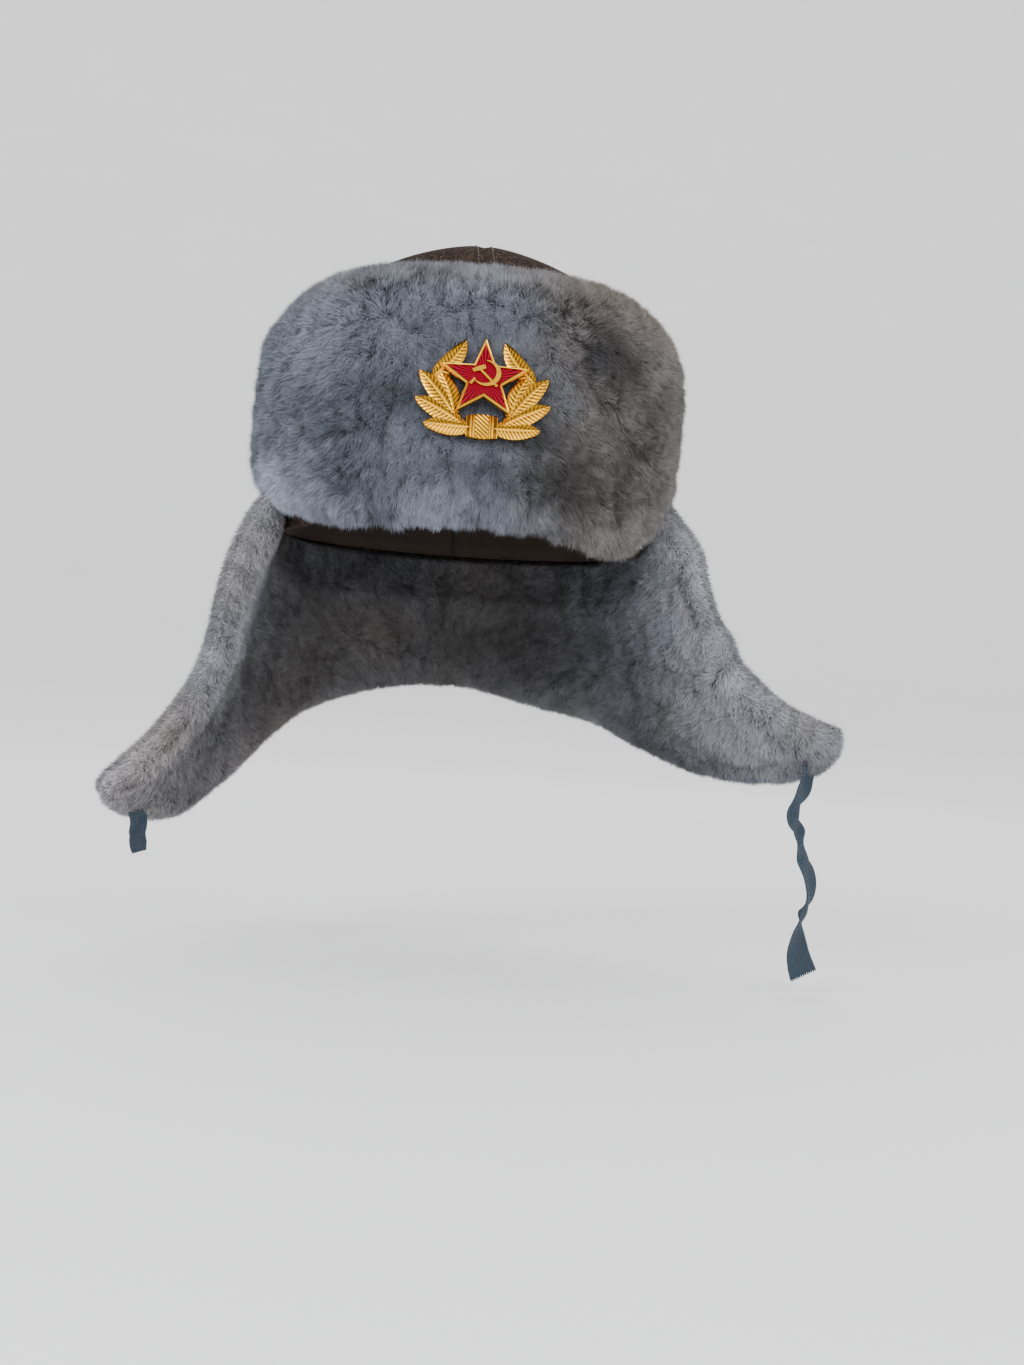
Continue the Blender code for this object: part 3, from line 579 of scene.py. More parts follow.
def groom(s, t, seed, tuft):
    """Tufts of two sizes, painted shade in their partings, and patches where the pile lies another way. All in metres
    and shares.
    """
    warp_s = s + 0.004 * hills(s / 0.011, t / 0.011, seed + 6)
    warp_t = t + 0.004 * hills(s / 0.012, t / 0.012, seed + 7)
    big_s, big_t, big_far, big_number = nearest_tuft(warp_s, warp_t, 0.014, 0.018, seed)
    small_s, small_t, small_far, small_number = nearest_tuft(warp_s, warp_t, tuft, tuft * 1.25, seed + 1)
    patch = hills(s / 0.034, t / 0.026, seed + 2) + 0.5 * hills(s / 0.016, t / 0.013, seed + 3)
    swirl = hills(s / 0.045, t / 0.05, seed + 4) + 0.6 * hills(s / 0.017, t / 0.020, seed + 5)
    curl = hills(s / (0.9 * tuft), t / (0.8 * tuft), seed + 8)
    return {
        "gather_s": 0.25 * big_s + 0.9 * small_s,
        "gather_t": 0.25 * big_t + 0.9 * small_t,
        "height": 0.0008 * (0.5 - big_far) + 0.0004 * (0.5 - small_far) + 0.0010 * patch + 0.0003 * curl,
        "swirl": swirl,
        "curl": curl,
        # The paleness drops towards each big tuft's edge: painted shade in the partings.
        "pale": 0.5 + 0.17 * patch + 0.10 * (big_number - 0.5) + 0.16 * (small_number - 0.5) + 0.10 * curl
        - 0.05 * smooth(0.5, 0.9, big_far),
        "long": 0.95 + 0.12 * (small_number - 0.5) + 0.08 * curl,
    }


def tangents(grid):
    """Unit steps along the rows and the columns of a grid of points, and its normals."""
    along, across = unit(np.gradient(grid, axis=0)), unit(np.gradient(grid, axis=1))
    return across, along, unit(np.cross(across, along))


# %% Fur colours
STRAND_ROOT = srgb(26, 25, 28)
COOL_TIP, WARM_TIP = srgb(141, 151, 170), srgb(138, 129, 120)
PALEST, DARKEST = 1.30, 0.28  # the tip colour's strength where the groom's paleness is 1 and 0


def fur_material(name, along_strand):
    """Dark at the root and pale at the tip, cooler or warmer and paler or darker by patch."""
    made, tree, shader = principled(name, Roughness=0.75, Sheen_Weight=0.10, Specular_IOR_Level=0.30)

    def read(key, socket="Fac"):
        return add(tree, "ShaderNodeAttribute", attribute_name=key).outputs[socket]

    tip = mixed(tree, read("warm"), COOL_TIP, WARM_TIP)
    pale = reckon(tree, "MULTIPLY_ADD", read("pale"), PALEST - DARKEST)
    pale.node.inputs[2].default_value = DARKEST
    if along_strand:
        pale = reckon(tree, "MULTIPLY", pale, read("grain"))
        share = reckon(tree, "POWER", read("tip"), 0.7)
    else:
        share = reckon(tree, "MULTIPLY", pale, 0.45)
    shade = add(tree, "ShaderNodeCombineColor", Red=pale, Green=pale, Blue=pale)
    tinted = mixed(tree, 1.0, tip, shade.outputs[0], "MULTIPLY")
    blended = mixed(tree, share, STRAND_ROOT, tinted)
    tree.links.new(blended, shader.inputs["Base Color"])
    if along_strand:
        own = tree.nodes.new("ShaderNodeNewGeometry").outputs["Normal"]
        soft = tree.nodes.new("ShaderNodeMix")
        soft.data_type = "VECTOR"
        soft.inputs[0].default_value = 0.62
        tree.links.new(own, soft.inputs[4])
        tree.links.new(read("skin", "Vector"), soft.inputs[5])
        straight = add(tree, "ShaderNodeVectorMath", operation="NORMALIZE")
        tree.links.new(soft.outputs[1], straight.inputs[0])
        tree.links.new(straight.outputs[0], shader.inputs["Normal"])
    return made


fur_strands = fur_material("fur_strands", True)
fur_body = fur_material("fur_body", False)


# %% Strand tree
def strand_template():
    """One blade: a unit wide and a unit long, a little bent, with its share of the length at each point."""
    points = [(-0.5, 0, 0), (0.5, 0, 0), (0, -0.22, 1)]
    made = make_piece("strand_blade", points, [(0, 1, 2)], fur_strands, {"tip": [0, 0, 1]}, outwards=False)
    made.hide_render = True
    return made


def named_input(tree, name, kind, value=None):
    socket = tree.interface.new_socket(name, in_out="INPUT", socket_type=kind)
    if value is not None:
        socket.default_value = value
    return socket


def strand_tree():
    """Scatters blades on a body of pile and turns each one the way its fur grows."""
    tree = bpy.data.node_groups.new("fur_strand_scatter", "GeometryNodeTree")
    named_input(tree, "Body", "NodeSocketGeometry")
    named_input(tree, "Blade", "NodeSocketObject")
    named_input(tree, "Strands per square metre", "NodeSocketFloat", 2.0e6)
    named_input(tree, "Strand length", "NodeSocketFloat", 0.008)
    named_input(tree, "Strand width", "NodeSocketFloat", 0.0004)
    named_input(tree, "Unruliness", "NodeSocketFloat", 0.3)
    named_input(tree, "Seed", "NodeSocketInt", 1)
    tree.interface.new_socket("Strands", in_out="OUTPUT", socket_type="NodeSocketGeometry")
    given = tree.nodes.new("NodeGroupInput").outputs
    result = tree.nodes.new("NodeGroupOutput")

    def read(key, kind):
        return add(tree, "GeometryNodeInputNamedAttribute", data_type=kind, Name=key).outputs[0]

    cover = add(tree, "ShaderNodeMath", operation="MULTIPLY")
    tree.links.new(read("cover", "FLOAT"), cover.inputs[0])
    tree.links.new(given["Strands per square metre"], cover.inputs[1])
    scatter = add(tree, "GeometryNodeDistributePointsOnFaces", Mesh=given["Body"], Seed=given["Seed"])
    tree.links.new(cover.outputs[0], scatter.inputs["Density"])

    def chance(kind, low, high, extra):
        node = tree.nodes.new("FunctionNodeRandomValue")
        node.data_type = kind
        bounds = [s for s in node.inputs if s.enabled and s.name in ("Min", "Max")]
        bounds[0].default_value, bounds[1].default_value = low, high
        seed = add(tree, "ShaderNodeMath", operation="ADD")
        tree.links.new(given["Seed"], seed.inputs[0])
        seed.inputs[1].default_value = extra
        tree.links.new(seed.outputs[0], node.inputs["Seed"])
        return next(s for s in node.outputs if s.enabled)

    grained = add(tree, "GeometryNodeStoreNamedAttribute", data_type="FLOAT", Geometry=scatter.outputs[0])
    grained.inputs["Name"].default_value = "grain"
    tree.links.new(chance("FLOAT", 0.66, 1.34, 11), grained.inputs["Value"])
    stray = add(tree, "ShaderNodeVectorMath", operation="SCALE")
    tree.links.new(chance("FLOAT_VECTOR", (-1, -1, -1), (1, 1, 1), 12), stray.inputs[0])
    tree.links.new(given["Unruliness"], stray.inputs["Scale"])
    growth = add(tree, "ShaderNodeVectorMath", operation="ADD")
    tree.links.new(read("growth", "FLOAT_VECTOR"), growth.inputs[0])
    tree.links.new(stray.outputs[0], growth.inputs[1])
    turned = add(tree, "FunctionNodeAxesToRotation", primary_axis="Z", secondary_axis="Y")
    tree.links.new(growth.outputs[0], turned.inputs[0])
    tree.links.new(scatter.outputs["Normal"], turned.inputs[1])
    spin = add(tree, "FunctionNodeAxisAngleToRotation", Axis=(0, 0, 1))
    tree.links.new(chance("FLOAT", -1.2, 1.2, 13), spin.inputs["Angle"])
    both = add(tree, "FunctionNodeRotateRotation", rotation_space="LOCAL")
    tree.links.new(turned.outputs[0], both.inputs[0])
    tree.links.new(spin.outputs[0], both.inputs[1])
    reach = add(tree, "ShaderNodeMath", operation="MULTIPLY")
    tree.links.new(read("long", "FLOAT"), reach.inputs[0])
    tree.links.new(given["Strand length"], reach.inputs[1])
    uneven = add(tree, "ShaderNodeMath", operation="MULTIPLY")
    tree.links.new(reach.outputs[0], uneven.inputs[0])
    tree.links.new(chance("FLOAT", 0.75, 1.12, 14), uneven.inputs[1])
    size = add(tree, "ShaderNodeCombineXYZ")
    tree.links.new(given["Strand width"], size.inputs[0])
    tree.links.new(uneven.outputs[0], size.inputs[1])
    tree.links.new(uneven.outputs[0], size.inputs[2])
    blade = add(tree, "GeometryNodeObjectInfo", Object=given["Blade"])
    placed = add(tree, "GeometryNodeInstanceOnPoints", Points=grained.outputs[0])
    tree.links.new(blade.outputs["Geometry"], placed.inputs["Instance"])
    tree.links.new(both.outputs[0], placed.inputs["Rotation"])
    tree.links.new(size.outputs[0], placed.inputs["Scale"])
    real = add(tree, "GeometryNodeRealizeInstances", Geometry=placed.outputs[0])
    painted = add(tree, "GeometryNodeSetMaterial", Geometry=real.outputs[0], Material=fur_strands)
    tree.links.new(painted.outputs[0], result.inputs[0])
    return tree


blade = strand_template()
strand_nodes = strand_tree()
print("strand tree:", len(strand_nodes.nodes), "nodes")


# %% Grow strands
def run_nodes(source, tree, name, values):
    """The plain mesh that a tree makes of a copy of the source, as a new piece."""
    carrier = source.copy()
    carrier.data = source.data.copy()
    hat.objects.link(carrier)
    step = carrier.modifiers.new("nodes", "NODES")
    step.node_group = tree
    sockets = {item.name: item.identifier for item in tree.interface.items_tree if item.in_out == "INPUT"}
    for key, value in values.items():
        step[sockets[key]] = value
    carrier.update_tag()
    graph = bpy.context.evaluated_depsgraph_get()
    mesh = bpy.data.meshes.new_from_object(carrier.evaluated_get(graph), depsgraph=graph)
    bpy.data.objects.remove(carrier, do_unlink=True)
    mesh.name = name
    made = bpy.data.objects.new(name, mesh)
    hat.objects.link(made)
    return made


def grow_fur(body, name, strands, length, width, unruliness, seed):
    """Scatters about so many strands on a body of pile."""
    cover = np.empty(len(body.data.vertices), np.float32)
    body.data.attributes["cover"].data.foreach_get("value", cover)
    area = sum(face.area * cover[list(face.vertices)].mean() for face in body.data.polygons)
    made = run_nodes(body, strand_nodes, name, {
        "Blade": blade, "Strands per square metre": strands / area, "Strand length": length,
        "Strand width": width, "Unruliness": unruliness, "Seed": seed,
    })
    for key in ("growth", "long", "cover"):
        if key in made.data.attributes:
            made.data.attributes.remove(made.data.attributes[key])
    made.data.shade_smooth()
    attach(made, "root")
    print(name + ":", len(made.data.polygons), "strands on", round(area * 1e4), "square centimetres")
    return made


# %% [markdown]
# ## Cockade frame
# The star and its wreath sit in the pile, leaning back with the flap. One matrix carries their flat
# drawing onto the flap, and the fur needs it too, because the pile behind the cockade is pressed
# down while the pile round it stands and hides its edge.

# %% Cockade matrix
BADGE_HEIGHT, BADGE_LEAN, BADGE_SINK = 0.061, math.radians(20.5), 0.0062
WREATH_WIDTH, WREATH_THICKNESS = 0.0575, 0.0019
surface = front_points(0.0, BADGE_HEIGHT, FRONT_CLOTH + 2 * GAP + FRONT_PILE)
badge_place = Vector((0, surface[1] + BADGE_SINK, BADGE_HEIGHT))
badge_matrix = Matrix.Translation(badge_place) @ Matrix.Rotation(math.pi / 2 - BADGE_LEAN, 4, "X")
badge_turn = np.array(badge_matrix)[:3, :3]


def to_badge(points):
    """Points in the cockade's own frame: X and Y on its face, Z out of it."""
    return (points - np.array(badge_place)) @ badge_turn


def from_badge(points):
    return np.asarray(points) @ badge_turn.T + np.array(badge_place)


def badge_reach(local):
    """How far points lie from the cockade's middle: 1 on the oval round it."""
    return np.hypot(local[..., 0] / 0.0295, (local[..., 1] + 0.004) / 0.0235)


print("cockade's middle at", tuple(round(v, 4) for v in badge_place))

# %% Front flap's body of pile
STAND = 0.0034  # how far the strands lift the surface above the body of pile
LOWER_HANG = 0.0055  # and how far they hang below its lower edge
UPPER_STAND = 0.0030
TUCK = 0.0050  # how much thinner the pile is at the wearer's left temple
PATCHES = [  # x, z, half width, half height, and how much paler the pile is there
    (-0.079, 0.083, 0.014, 0.013, 0.06),
    (-0.040, 0.052, 0.022, 0.016, -0.22),
    (-0.088, 0.034, 0.014, 0.009, -0.28),
    (-0.052, 0.014, 0.024, 0.011, -0.36),
    (-0.088, 0.010, 0.016, 0.016, 0.60),
    (-0.017, 0.006, 0.012, 0.007, 0.26),
    (0.056, 0.078, 0.014, 0.011, -0.74),
    (0.024, 0.024, 0.022, 0.009, -0.38),
    (0.044, 0.012, 0.010, 0.007, -0.38),
    (0.062, 0.004, 0.014, 0.012, 0.12),
    (0.000, 0.094, 0.040, 0.012, 0.22),
    (0.062, 0.045, 0.030, 0.040, -0.12),
    (-0.005, 0.024, 0.024, 0.012, -0.16),
    (-0.064, 0.006, 0.016, 0.010, 0.16),
    (-0.064, 0.058, 0.016, 0.020, -0.06),
    (0.085, 0.060, 0.018, 0.022, -0.12),
]
TUFT_AZIMUTH, TUFT_SPAN, TUFT_DROP = math.radians(46), math.radians(13), 0.0075  # the lowest tuft

columns = np.linspace(-1, 1, 300) * (FRONT_REACH - 0.003 / RIM_FRONT)
up = (1 - np.cos(np.linspace(0.06, math.pi - 0.06, 110))) / 2
down = up[::-12][1:-1]
arc = (RIM_FRONT + FRONT_PILE * 0.8) * columns
s, t = np.meshgrid(arc, up * FRONT_HEIGHT)
field = groom(s, t, 21, 0.0036)
low, high = front_outline(columns)
ragged = 0.0013 * hills(arc / 0.006, 0 * arc + 3.3, 77) + 0.0010 * hills(arc / 0.017, 0 * arc + 5.7, 78)
low = low + ragged + LOWER_HANG - TUFT_DROP * np.exp(-(((columns - TUFT_AZIMUTH) / TUFT_SPAN) ** 2))
high = high - UPPER_STAND
end = (1 - np.abs(columns / FRONT_REACH) ** 24) ** 0.5
full = (1 - np.abs(2 * up - 1) ** 5)[:, None] ** 0.45
pile = FRONT_PILE * (0.25 + 0.75 * end) - STAND + end * field["height"]
pile = pile - TUCK * smooth(0.55, 0.95, columns / FRONT_REACH) * (1 - up)[:, None]
outer = front_points(columns, low + (high - low) * up[:, None], FRONT_CLOTH + 2 * GAP + full * pile)
local = to_badge(outer)
reach = badge_reach(local)
pressed = -0.0030 + np.clip(reach - 1, 0, None) * 0.0295 / 2
local[..., 2] = np.minimum(local[..., 2], pressed)
outer = from_badge(local)
behind = front_points(columns, low + (high - low) * down[:, None], FRONT_CLOTH + 2 * GAP + 0 * down[:, None])

across, along, normal = tangents(outer)
normal = np.where((normal * outer * [1, 1, 0]).sum(axis=-1, keepdims=True) < 0, -normal, normal)
normal = normal + np.array([0, 0, 1.0]) * smooth(0.90, 1.0, up)[:, None, None]
lift_up = smooth(0.72, 0.97, up)[:, None, None]
hang = np.array([0, 0, -1.0]) * (1 - 1.2 * lift_up)
growth = 0.85 * unit(normal) + 0.55 * hang + (0.12 + 0.40 * field["swirl"])[..., None] * across
growth += (field["gather_s"][..., None] * across + field["gather_t"][..., None] * along) / 0.006
growth += 0.22 * field["curl"][..., None] * along
inside = smooth(1.10, 0.84, reach)
long = field["long"] * (1 - 0.62 * inside) * (1 + 0.22 * smooth(0.25, 0.02, up)[:, None])
contrast = 1.15 + 0.65 * smooth(0.45, 0.15, up)[:, None]
pale = 0.5 + (field["pale"] - 0.5) * contrast
for x, z, wide, tall, change in PATCHES:
    pale += change * np.exp(-(((outer[..., 0] - x) / wide) ** 2) - ((outer[..., 2] - z) / tall) ** 2)
# Warmer towards the wearer's left and near the top. On the wearer's left the warmth is partly the pile's own
# brown-grey and partly painted warm light.
warm = smooth(0.000, 0.055, outer[..., 0] + 0.014 * hills(s / 0.02, t / 0.02, 31))
warm = np.clip(0.18 + 0.62 * warm + 0.25 * smooth(0.75, 1.0, t / FRONT_HEIGHT), 0, 1)
attributes = {
    "growth": growth, "long": long, "cover": np.ones_like(long), "pale": np.clip(pale, 0.0, 1.2),
    "warm": warm, "skin": unit(normal),
}
rows = len(up) + len(down)
sections = np.concatenate([outer, behind])
packed = {}
for key, values in attributes.items():
    rest = np.zeros((len(down),) + values.shape[1:])
    packed[key] = np.concatenate([values, rest]).reshape((-1,) + values.shape[2:])
count = len(columns)
faces = [f for f in grid_quads(rows, count)]
faces += [((rows - 1) * count + j, j, j + 1, (rows - 1) * count + j + 1) for j in range(count - 1)]
faces += [tuple(i * count for i in range(rows)), tuple(i * count + count - 1 for i in range(rows))]
front_body = make_piece("front_fur_body", sections.reshape(-1, 3), faces, fur_body, packed)
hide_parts("front_flap_fur")
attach(front_body, "root")
print("front body of pile:", len(front_body.data.polygons), "faces")

# %% Front flap's strands
front_under = grow_fur(front_body, "front_fur_under", 190000, 0.0050, 0.00038, 0.32, 3)
front_over = grow_fur(front_body, "front_fur_over", 190000, 0.0057, 0.00031, 0.44, 4)

# %% [markdown]
# ## Ear and neck flaps
# Each ear flap is sewn to the crown's edge and runs on into its half of the neck flap. It is a fan
# of ribs: every rib starts on the crown's edge, tilts outwards as it hangs and ends at the flap's
# free edge. The same table as in the CAD gives each rib's place, length and tilt, and a few
# creases follow. Cloth lies on one side of that sheet, and pile on the other.

# %% Flap tables
EAR_LENGTH, NECK_LENGTH = 0.165, 0.072
FLAP_CLOTH, FLAP_PILE, FLAP_ROLL, FLAP_EDGE, FLAP_START = 0.0025, 0.013, 0.0055, 0.010, 0.28
# azimuth, ear, neck, swing, root, third, two_thirds, end
NECK_RIBS = [
    (150, 0.10, 0.88, 62, 38, 12, 4, 2),
    (168, 0.00, 1.02, 82, 38, 14, 4, 0),
    (180, 0.00, 1.00, 90, 38, 14, 4, 0),
]
LEFT_RIBS = [
    (60, 0.85, 0.00, -7, 107, 28, 56, 80),
    (72, 0.85, 0.00, -5, 78, 26, 46, 76),
    (88, 0.73, 0.00, -5, 56, 17, 26, 52),
    (110, 0.50, 0.28, -8, 38, 14, 16, 22),
    (130, 0.36, 0.40, 12, 36, 12, 10, 10),
] + NECK_RIBS
RIGHT_RIBS = [
    (60, 0.95, 0.00, 13, 95, 10, 34, 54),
    (72, 0.98, 0.00, 12, 66, 14, 32, 42),
    (88, 0.91, 0.00, 8, 48, 10, 16, 34),
    (110, 0.66, 0.20, 0, 32, 11, 12, 18),
    (130, 0.42, 0.38, 16, 36, 10, 8, 8),
] + NECK_RIBS
# place across and along, half widths there, depth as a share of the pile
LEFT_CREASES = [
    (0.10, 0.22, 0.20, 0.050, 0.22),
    (0.14, 0.47, 0.16, 0.045, 0.28),
    (0.20, 0.62, 0.16, 0.045, 0.22),
    (0.24, 0.84, 0.10, 0.065, 0.45),
    (0.62, 0.55, 0.05, 0.400, 0.25),
]
RIGHT_CREASES = [
    (0.13, 0.90, 0.06, 0.055, 0.45),
    (0.30, 0.40, 0.07, 0.350, 0.30),
    (0.62, 0.50, 0.05, 0.400, 0.25),
]


# %% Flap surface
def rib_values(ribs, across):
    ribs = np.array(ribs, float)
    places = np.linspace(0, 1, len(ribs))
    return [through(across, places, ribs[:, k]) for k in range(ribs.shape[1])]


def flap_length(ribs, across):
    values = rib_values(ribs, across)
    return values[1] * EAR_LENGTH + values[2] * NECK_LENGTH


def facing_in(grid):
    return unit(np.cross(np.gradient(grid, axis=1), np.gradient(grid, axis=0)))


def flap_surface(ribs, creases, across, along):
    """The sheet between cloth and fur, as a grid of points, and its normals towards the head."""
    steps = np.linspace(0, 1, 61)
    azimuth, _, _, swing, root, third, two_thirds, end = rib_values(ribs, across)
    tilts = np.stack([root, third, two_thirds, end], axis=1)
    tilt = np.radians(np.stack([through(steps, [0, 1 / 3, 2 / 3, 1], row) for row in tilts], axis=1))
    half = flap_length(ribs, across) / (len(steps) - 1) / 2
    out, drop = np.sin(tilt), np.cos(tilt)
    out = np.concatenate([0 * half[None], np.cumsum((out[1:] + out[:-1]) * half, axis=0)])
    drop = np.concatenate([0 * half[None], np.cumsum((drop[1:] + drop[:-1]) * half, axis=0)])
    azimuth, swing = np.radians(azimuth), np.radians(swing)
    x = (RIM_SIDE - FLAP_CLOTH) * np.sin(azimuth) + out * np.cos(swing)
    y = -(RIM_FRONT - FLAP_CLOTH) * np.cos(azimuth) + out * np.sin(swing)
    z = -GAP - FLAP_CLOTH * np.sin(np.radians(root)) - drop
    fine = np.stack([x, y, z], axis=-1)
    normals = facing_in(fine)
    for place_across, place_along, wide, tall, depth in creases:
        far = ((across - place_across) / wide) ** 2 + ((steps[:, None] - place_along) / tall) ** 2
        fine = fine - normals * (FLAP_PILE * depth * np.exp(-far))[..., None]
    normals = facing_in(fine)
    place = np.clip(along * (len(steps) - 1), 0, len(steps) - 1 - 1e-6)
    i = place.astype(int)
    part = (place - i)[..., None]
    k = np.arange(len(across))
    points = fine[i, k] * (1 - part) + fine[i + 1, k] * part
    return points, unit(normals[i, k] * (1 - part) + normals[i + 1, k] * part)


FLAP_WIDTH = math.radians(180 - 60) * (RIM_SIDE + RIM_FRONT) / 2
EDGE_SHARE = FLAP_EDGE / FLAP_WIDTH
print("a flap is sewn on over", round(FLAP_WIDTH * 1000), "mm")


# %% Shoulders
LEFT_SHOULDER = (0.024, 92, 26)  # how far the flap's root rises, to which azimuth, and how softly
RIGHT_SHOULDER = (0.019, 90, 24)
SHOULDER_LENGTH, SHOULDER_CLEAR = 0.034, 0.006


def shouldered(points, shoulder, across, along, length):
    """The flap with its front corner turned up against the crown, where the front flap covers it."""
    rise, azimuth, soft = shoulder
    reach = smooth(azimuth + soft, azimuth - soft, 60 + across * 120)
    share = rise * reach * np.exp(-((along * length / SHOULDER_LENGTH) ** 2))
    moved = points.copy()
    clear = np.clip(share / 0.004, 0, 1) * SHOULDER_CLEAR
    outwards = unit(points * [1, 1, 0])
    moved += clear[..., None] * outwards * np.exp(-((along * length / 0.02) ** 2))[..., None]
    moved[..., 2] += share
    return moved


# %% Flap cloth
def flap_cloth(name, side, ribs, creases, shoulder):
    across = np.linspace(EDGE_SHARE * 1.06, 1, 90)
    length = flap_length(ribs, across)
    along = (1 - FLAP_EDGE * 1.06 / length) * np.linspace(0, 1, 70)[:, None]
    sewn, facing = flap_surface(ribs, creases, across, along)
    sewn = shouldered(sewn, shoulder, across, along, length)
    facing = facing_in(sewn)
    outside = sewn - facing * FLAP_CLOTH
    outside[0, :, 2] = np.maximum(outside[0, :, 2], -GAP)
    for grid in (sewn, outside):
        grid[..., 0] = np.maximum(grid[..., 0], 0)
    mirror = np.array([side, 1, 1])
    made = closed_sheet(name + "_wool", outside * mirror, sewn * mirror, wool)
    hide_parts(name + "_cloth")
    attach(made, "root")
    return outside * mirror, -facing * mirror


# %% Flap's body of pile
NECK_WARMTH = 0.70


def flap_fur(name, side, ribs, creases, shoulder, tone, seed):
    trim = 0.0040
    start = trim / FLAP_WIDTH
    across = np.concatenate([start + EDGE_SHARE * np.array([0, 0.12, 0.26, 0.42]), np.linspace(EDGE_SHARE, 1, 150)])
    length = flap_length(ribs, across)
    whole = 1 - trim / length
    inner = (1 - FLAP_EDGE / length) * np.linspace(0, 1, 104)[:, None]
    outer = whole - (whole - inner[-1]) * np.array([[0.75], [0.5], [0.28], [0.12], [0.0]])
    along = np.concatenate([inner, outer])
    points, facing = flap_surface(ribs, creases, across, along)
    points = shouldered(points, shoulder, across, along, length)
    facing = facing_in(points)
    from_edge = np.minimum(across * FLAP_WIDTH - trim, (1 - along) * length - trim) / (FLAP_EDGE - trim)
    swell = np.clip(from_edge / 2.4, 0, 1)
    swell = 0.10 + 0.90 * np.sqrt(1 - (1 - swell) ** 2)
    begin = FLAP_START + (1 - FLAP_START) * np.clip(along * length / (1.5 * FLAP_PILE), 0, 1)
    s, t = across * FLAP_WIDTH + 0 * along, along * length
    field = groom(s, t, seed, 0.0030)
    inset = np.clip(from_edge, 0, 1)
    pile = swell * begin * (FLAP_PILE - STAND + 0.9 * field["height"] * inset)
    roll = FLAP_ROLL * np.sqrt(np.clip(from_edge / 0.8, 0, 1)) * np.clip(along * length / FLAP_PILE, 0, 1)
    past_cloth = from_edge < 0.98
    back = points + facing * np.where(past_cloth, -roll * 0.75, GAP)[..., None]
    front = points + facing * (GAP + pile)[..., None]
    for grid in (front, back):
        grid[..., 0] = np.maximum(grid[..., 0], 0)
    mirror = np.array([side, 1, 1])
    front, back = front * mirror, back * mirror

    towards_side, towards_end, normal = tangents(front)
    normal = np.where((normal * facing * mirror).sum(axis=-1, keepdims=True) < 0, -normal, normal)
    spread = 0.35 * np.clip(1 - across * FLAP_WIDTH / 0.015, 0, 1)
    growth = 0.85 * normal + 0.50 * towards_end - spread[None, :, None] * towards_side
    growth += (0.40 * field["swirl"])[..., None] * towards_side
    growth += (field["gather_s"][..., None] * towards_side + field["gather_t"][..., None] * towards_end) / 0.006
    growth += 0.25 * field["curl"][..., None] * towards_end
    long = field["long"] * (0.45 + 0.55 * begin) * (0.80 + 0.20 * swell)
    front_light, neck_shade, root_light, end_tone, warmth, wide = tone
    # Paler along the front edge and in a band below the root, and darker towards the neck: painted light and shade.
    paler = neck_shade + (front_light - neck_shade) * smooth(wide, 0.05, across)
    lit_band_below_root = np.exp(-(((along - 0.28) / 0.15) ** 2))
    paler = paler + smooth(0.7, 0.2, across) * (root_light * lit_band_below_root + end_tone * smooth(0.60, 0.95, along))
    crimp = 0.30 * field["curl"] * smooth(0.35, 0.05, across)
    pale = np.clip(field["pale"] + paler + crimp, 0, 1.9)
    warm = warmth + (NECK_WARMTH - warmth) * smooth(0.20, 0.85, across)
    warm = np.clip(warm + 0.22 * hills(s / 0.05, t / 0.04, seed + 9) * smooth(1.0, 0.8, across), 0, 1)
    fringe = (from_edge < 0.9).astype(float)
    backward = growth * 0 + (towards_end * 0.5 - facing * mirror * 0.7)
    packed = {
        "growth": np.concatenate([growth, backward]),
        "long": np.concatenate([long, long * 0.8]),
        "cover": np.concatenate([np.ones_like(long), fringe]),
        "pale": np.concatenate([pale] * 2),
        "warm": np.concatenate([warm] * 2),
        "skin": np.concatenate([normal, -facing * mirror]),
    }
    packed = {key: v.reshape((-1,) + v.shape[2:]) for key, v in packed.items()}
    made = closed_sheet(name + "_fur_body", front, back, fur_body, packed)
    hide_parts(name + "_fur")
    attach(made, "root")
    print(name, "body of pile:", len(made.data.polygons), "faces")
    return made


# %% Both flaps
# how much paler the pile is along its front edge, at the neck, below its root and at its end, how warm,
# and how far across the pale edge reaches. The paler front edge and the paler band below the root are
# painted light, and the darker neck is painted shade.
LEFT_LIGHT_AND_TONE = (0.70, -0.28, 0.66, -0.12, 0.40, 0.46)
RIGHT_LIGHT_AND_TONE = (0.80, -0.28, 0.10, 0.56, 0.56, 0.27)
left_outside, left_facing = flap_cloth("left_flap", 1, LEFT_RIBS, LEFT_CREASES, LEFT_SHOULDER)
right_outside, right_facing = flap_cloth("right_flap", -1, RIGHT_RIBS, RIGHT_CREASES, RIGHT_SHOULDER)
left_body = flap_fur("left_flap", 1, LEFT_RIBS, LEFT_CREASES, LEFT_SHOULDER, LEFT_LIGHT_AND_TONE, 41)
right_body = flap_fur("right_flap", -1, RIGHT_RIBS, RIGHT_CREASES, RIGHT_SHOULDER, RIGHT_LIGHT_AND_TONE, 61)
left_strands = grow_fur(left_body, "left_flap_strands", 196000, 0.0046, 0.00040, 0.42, 5)
right_strands = grow_fur(right_body, "right_flap_strands", 196000, 0.0046, 0.00040, 0.42, 6)

# %% [markdown]
# ## Cockade
# The cockade is stamped brass: a wreath of laurel leaves with midribs and slanting veins, bound by a
# band, and a star-shaped dish in front of it that holds red enamel and a hammer and sickle. Each
# leaf is a small grid with its relief in the points, because a bump alone would leave it flat from
# the side.

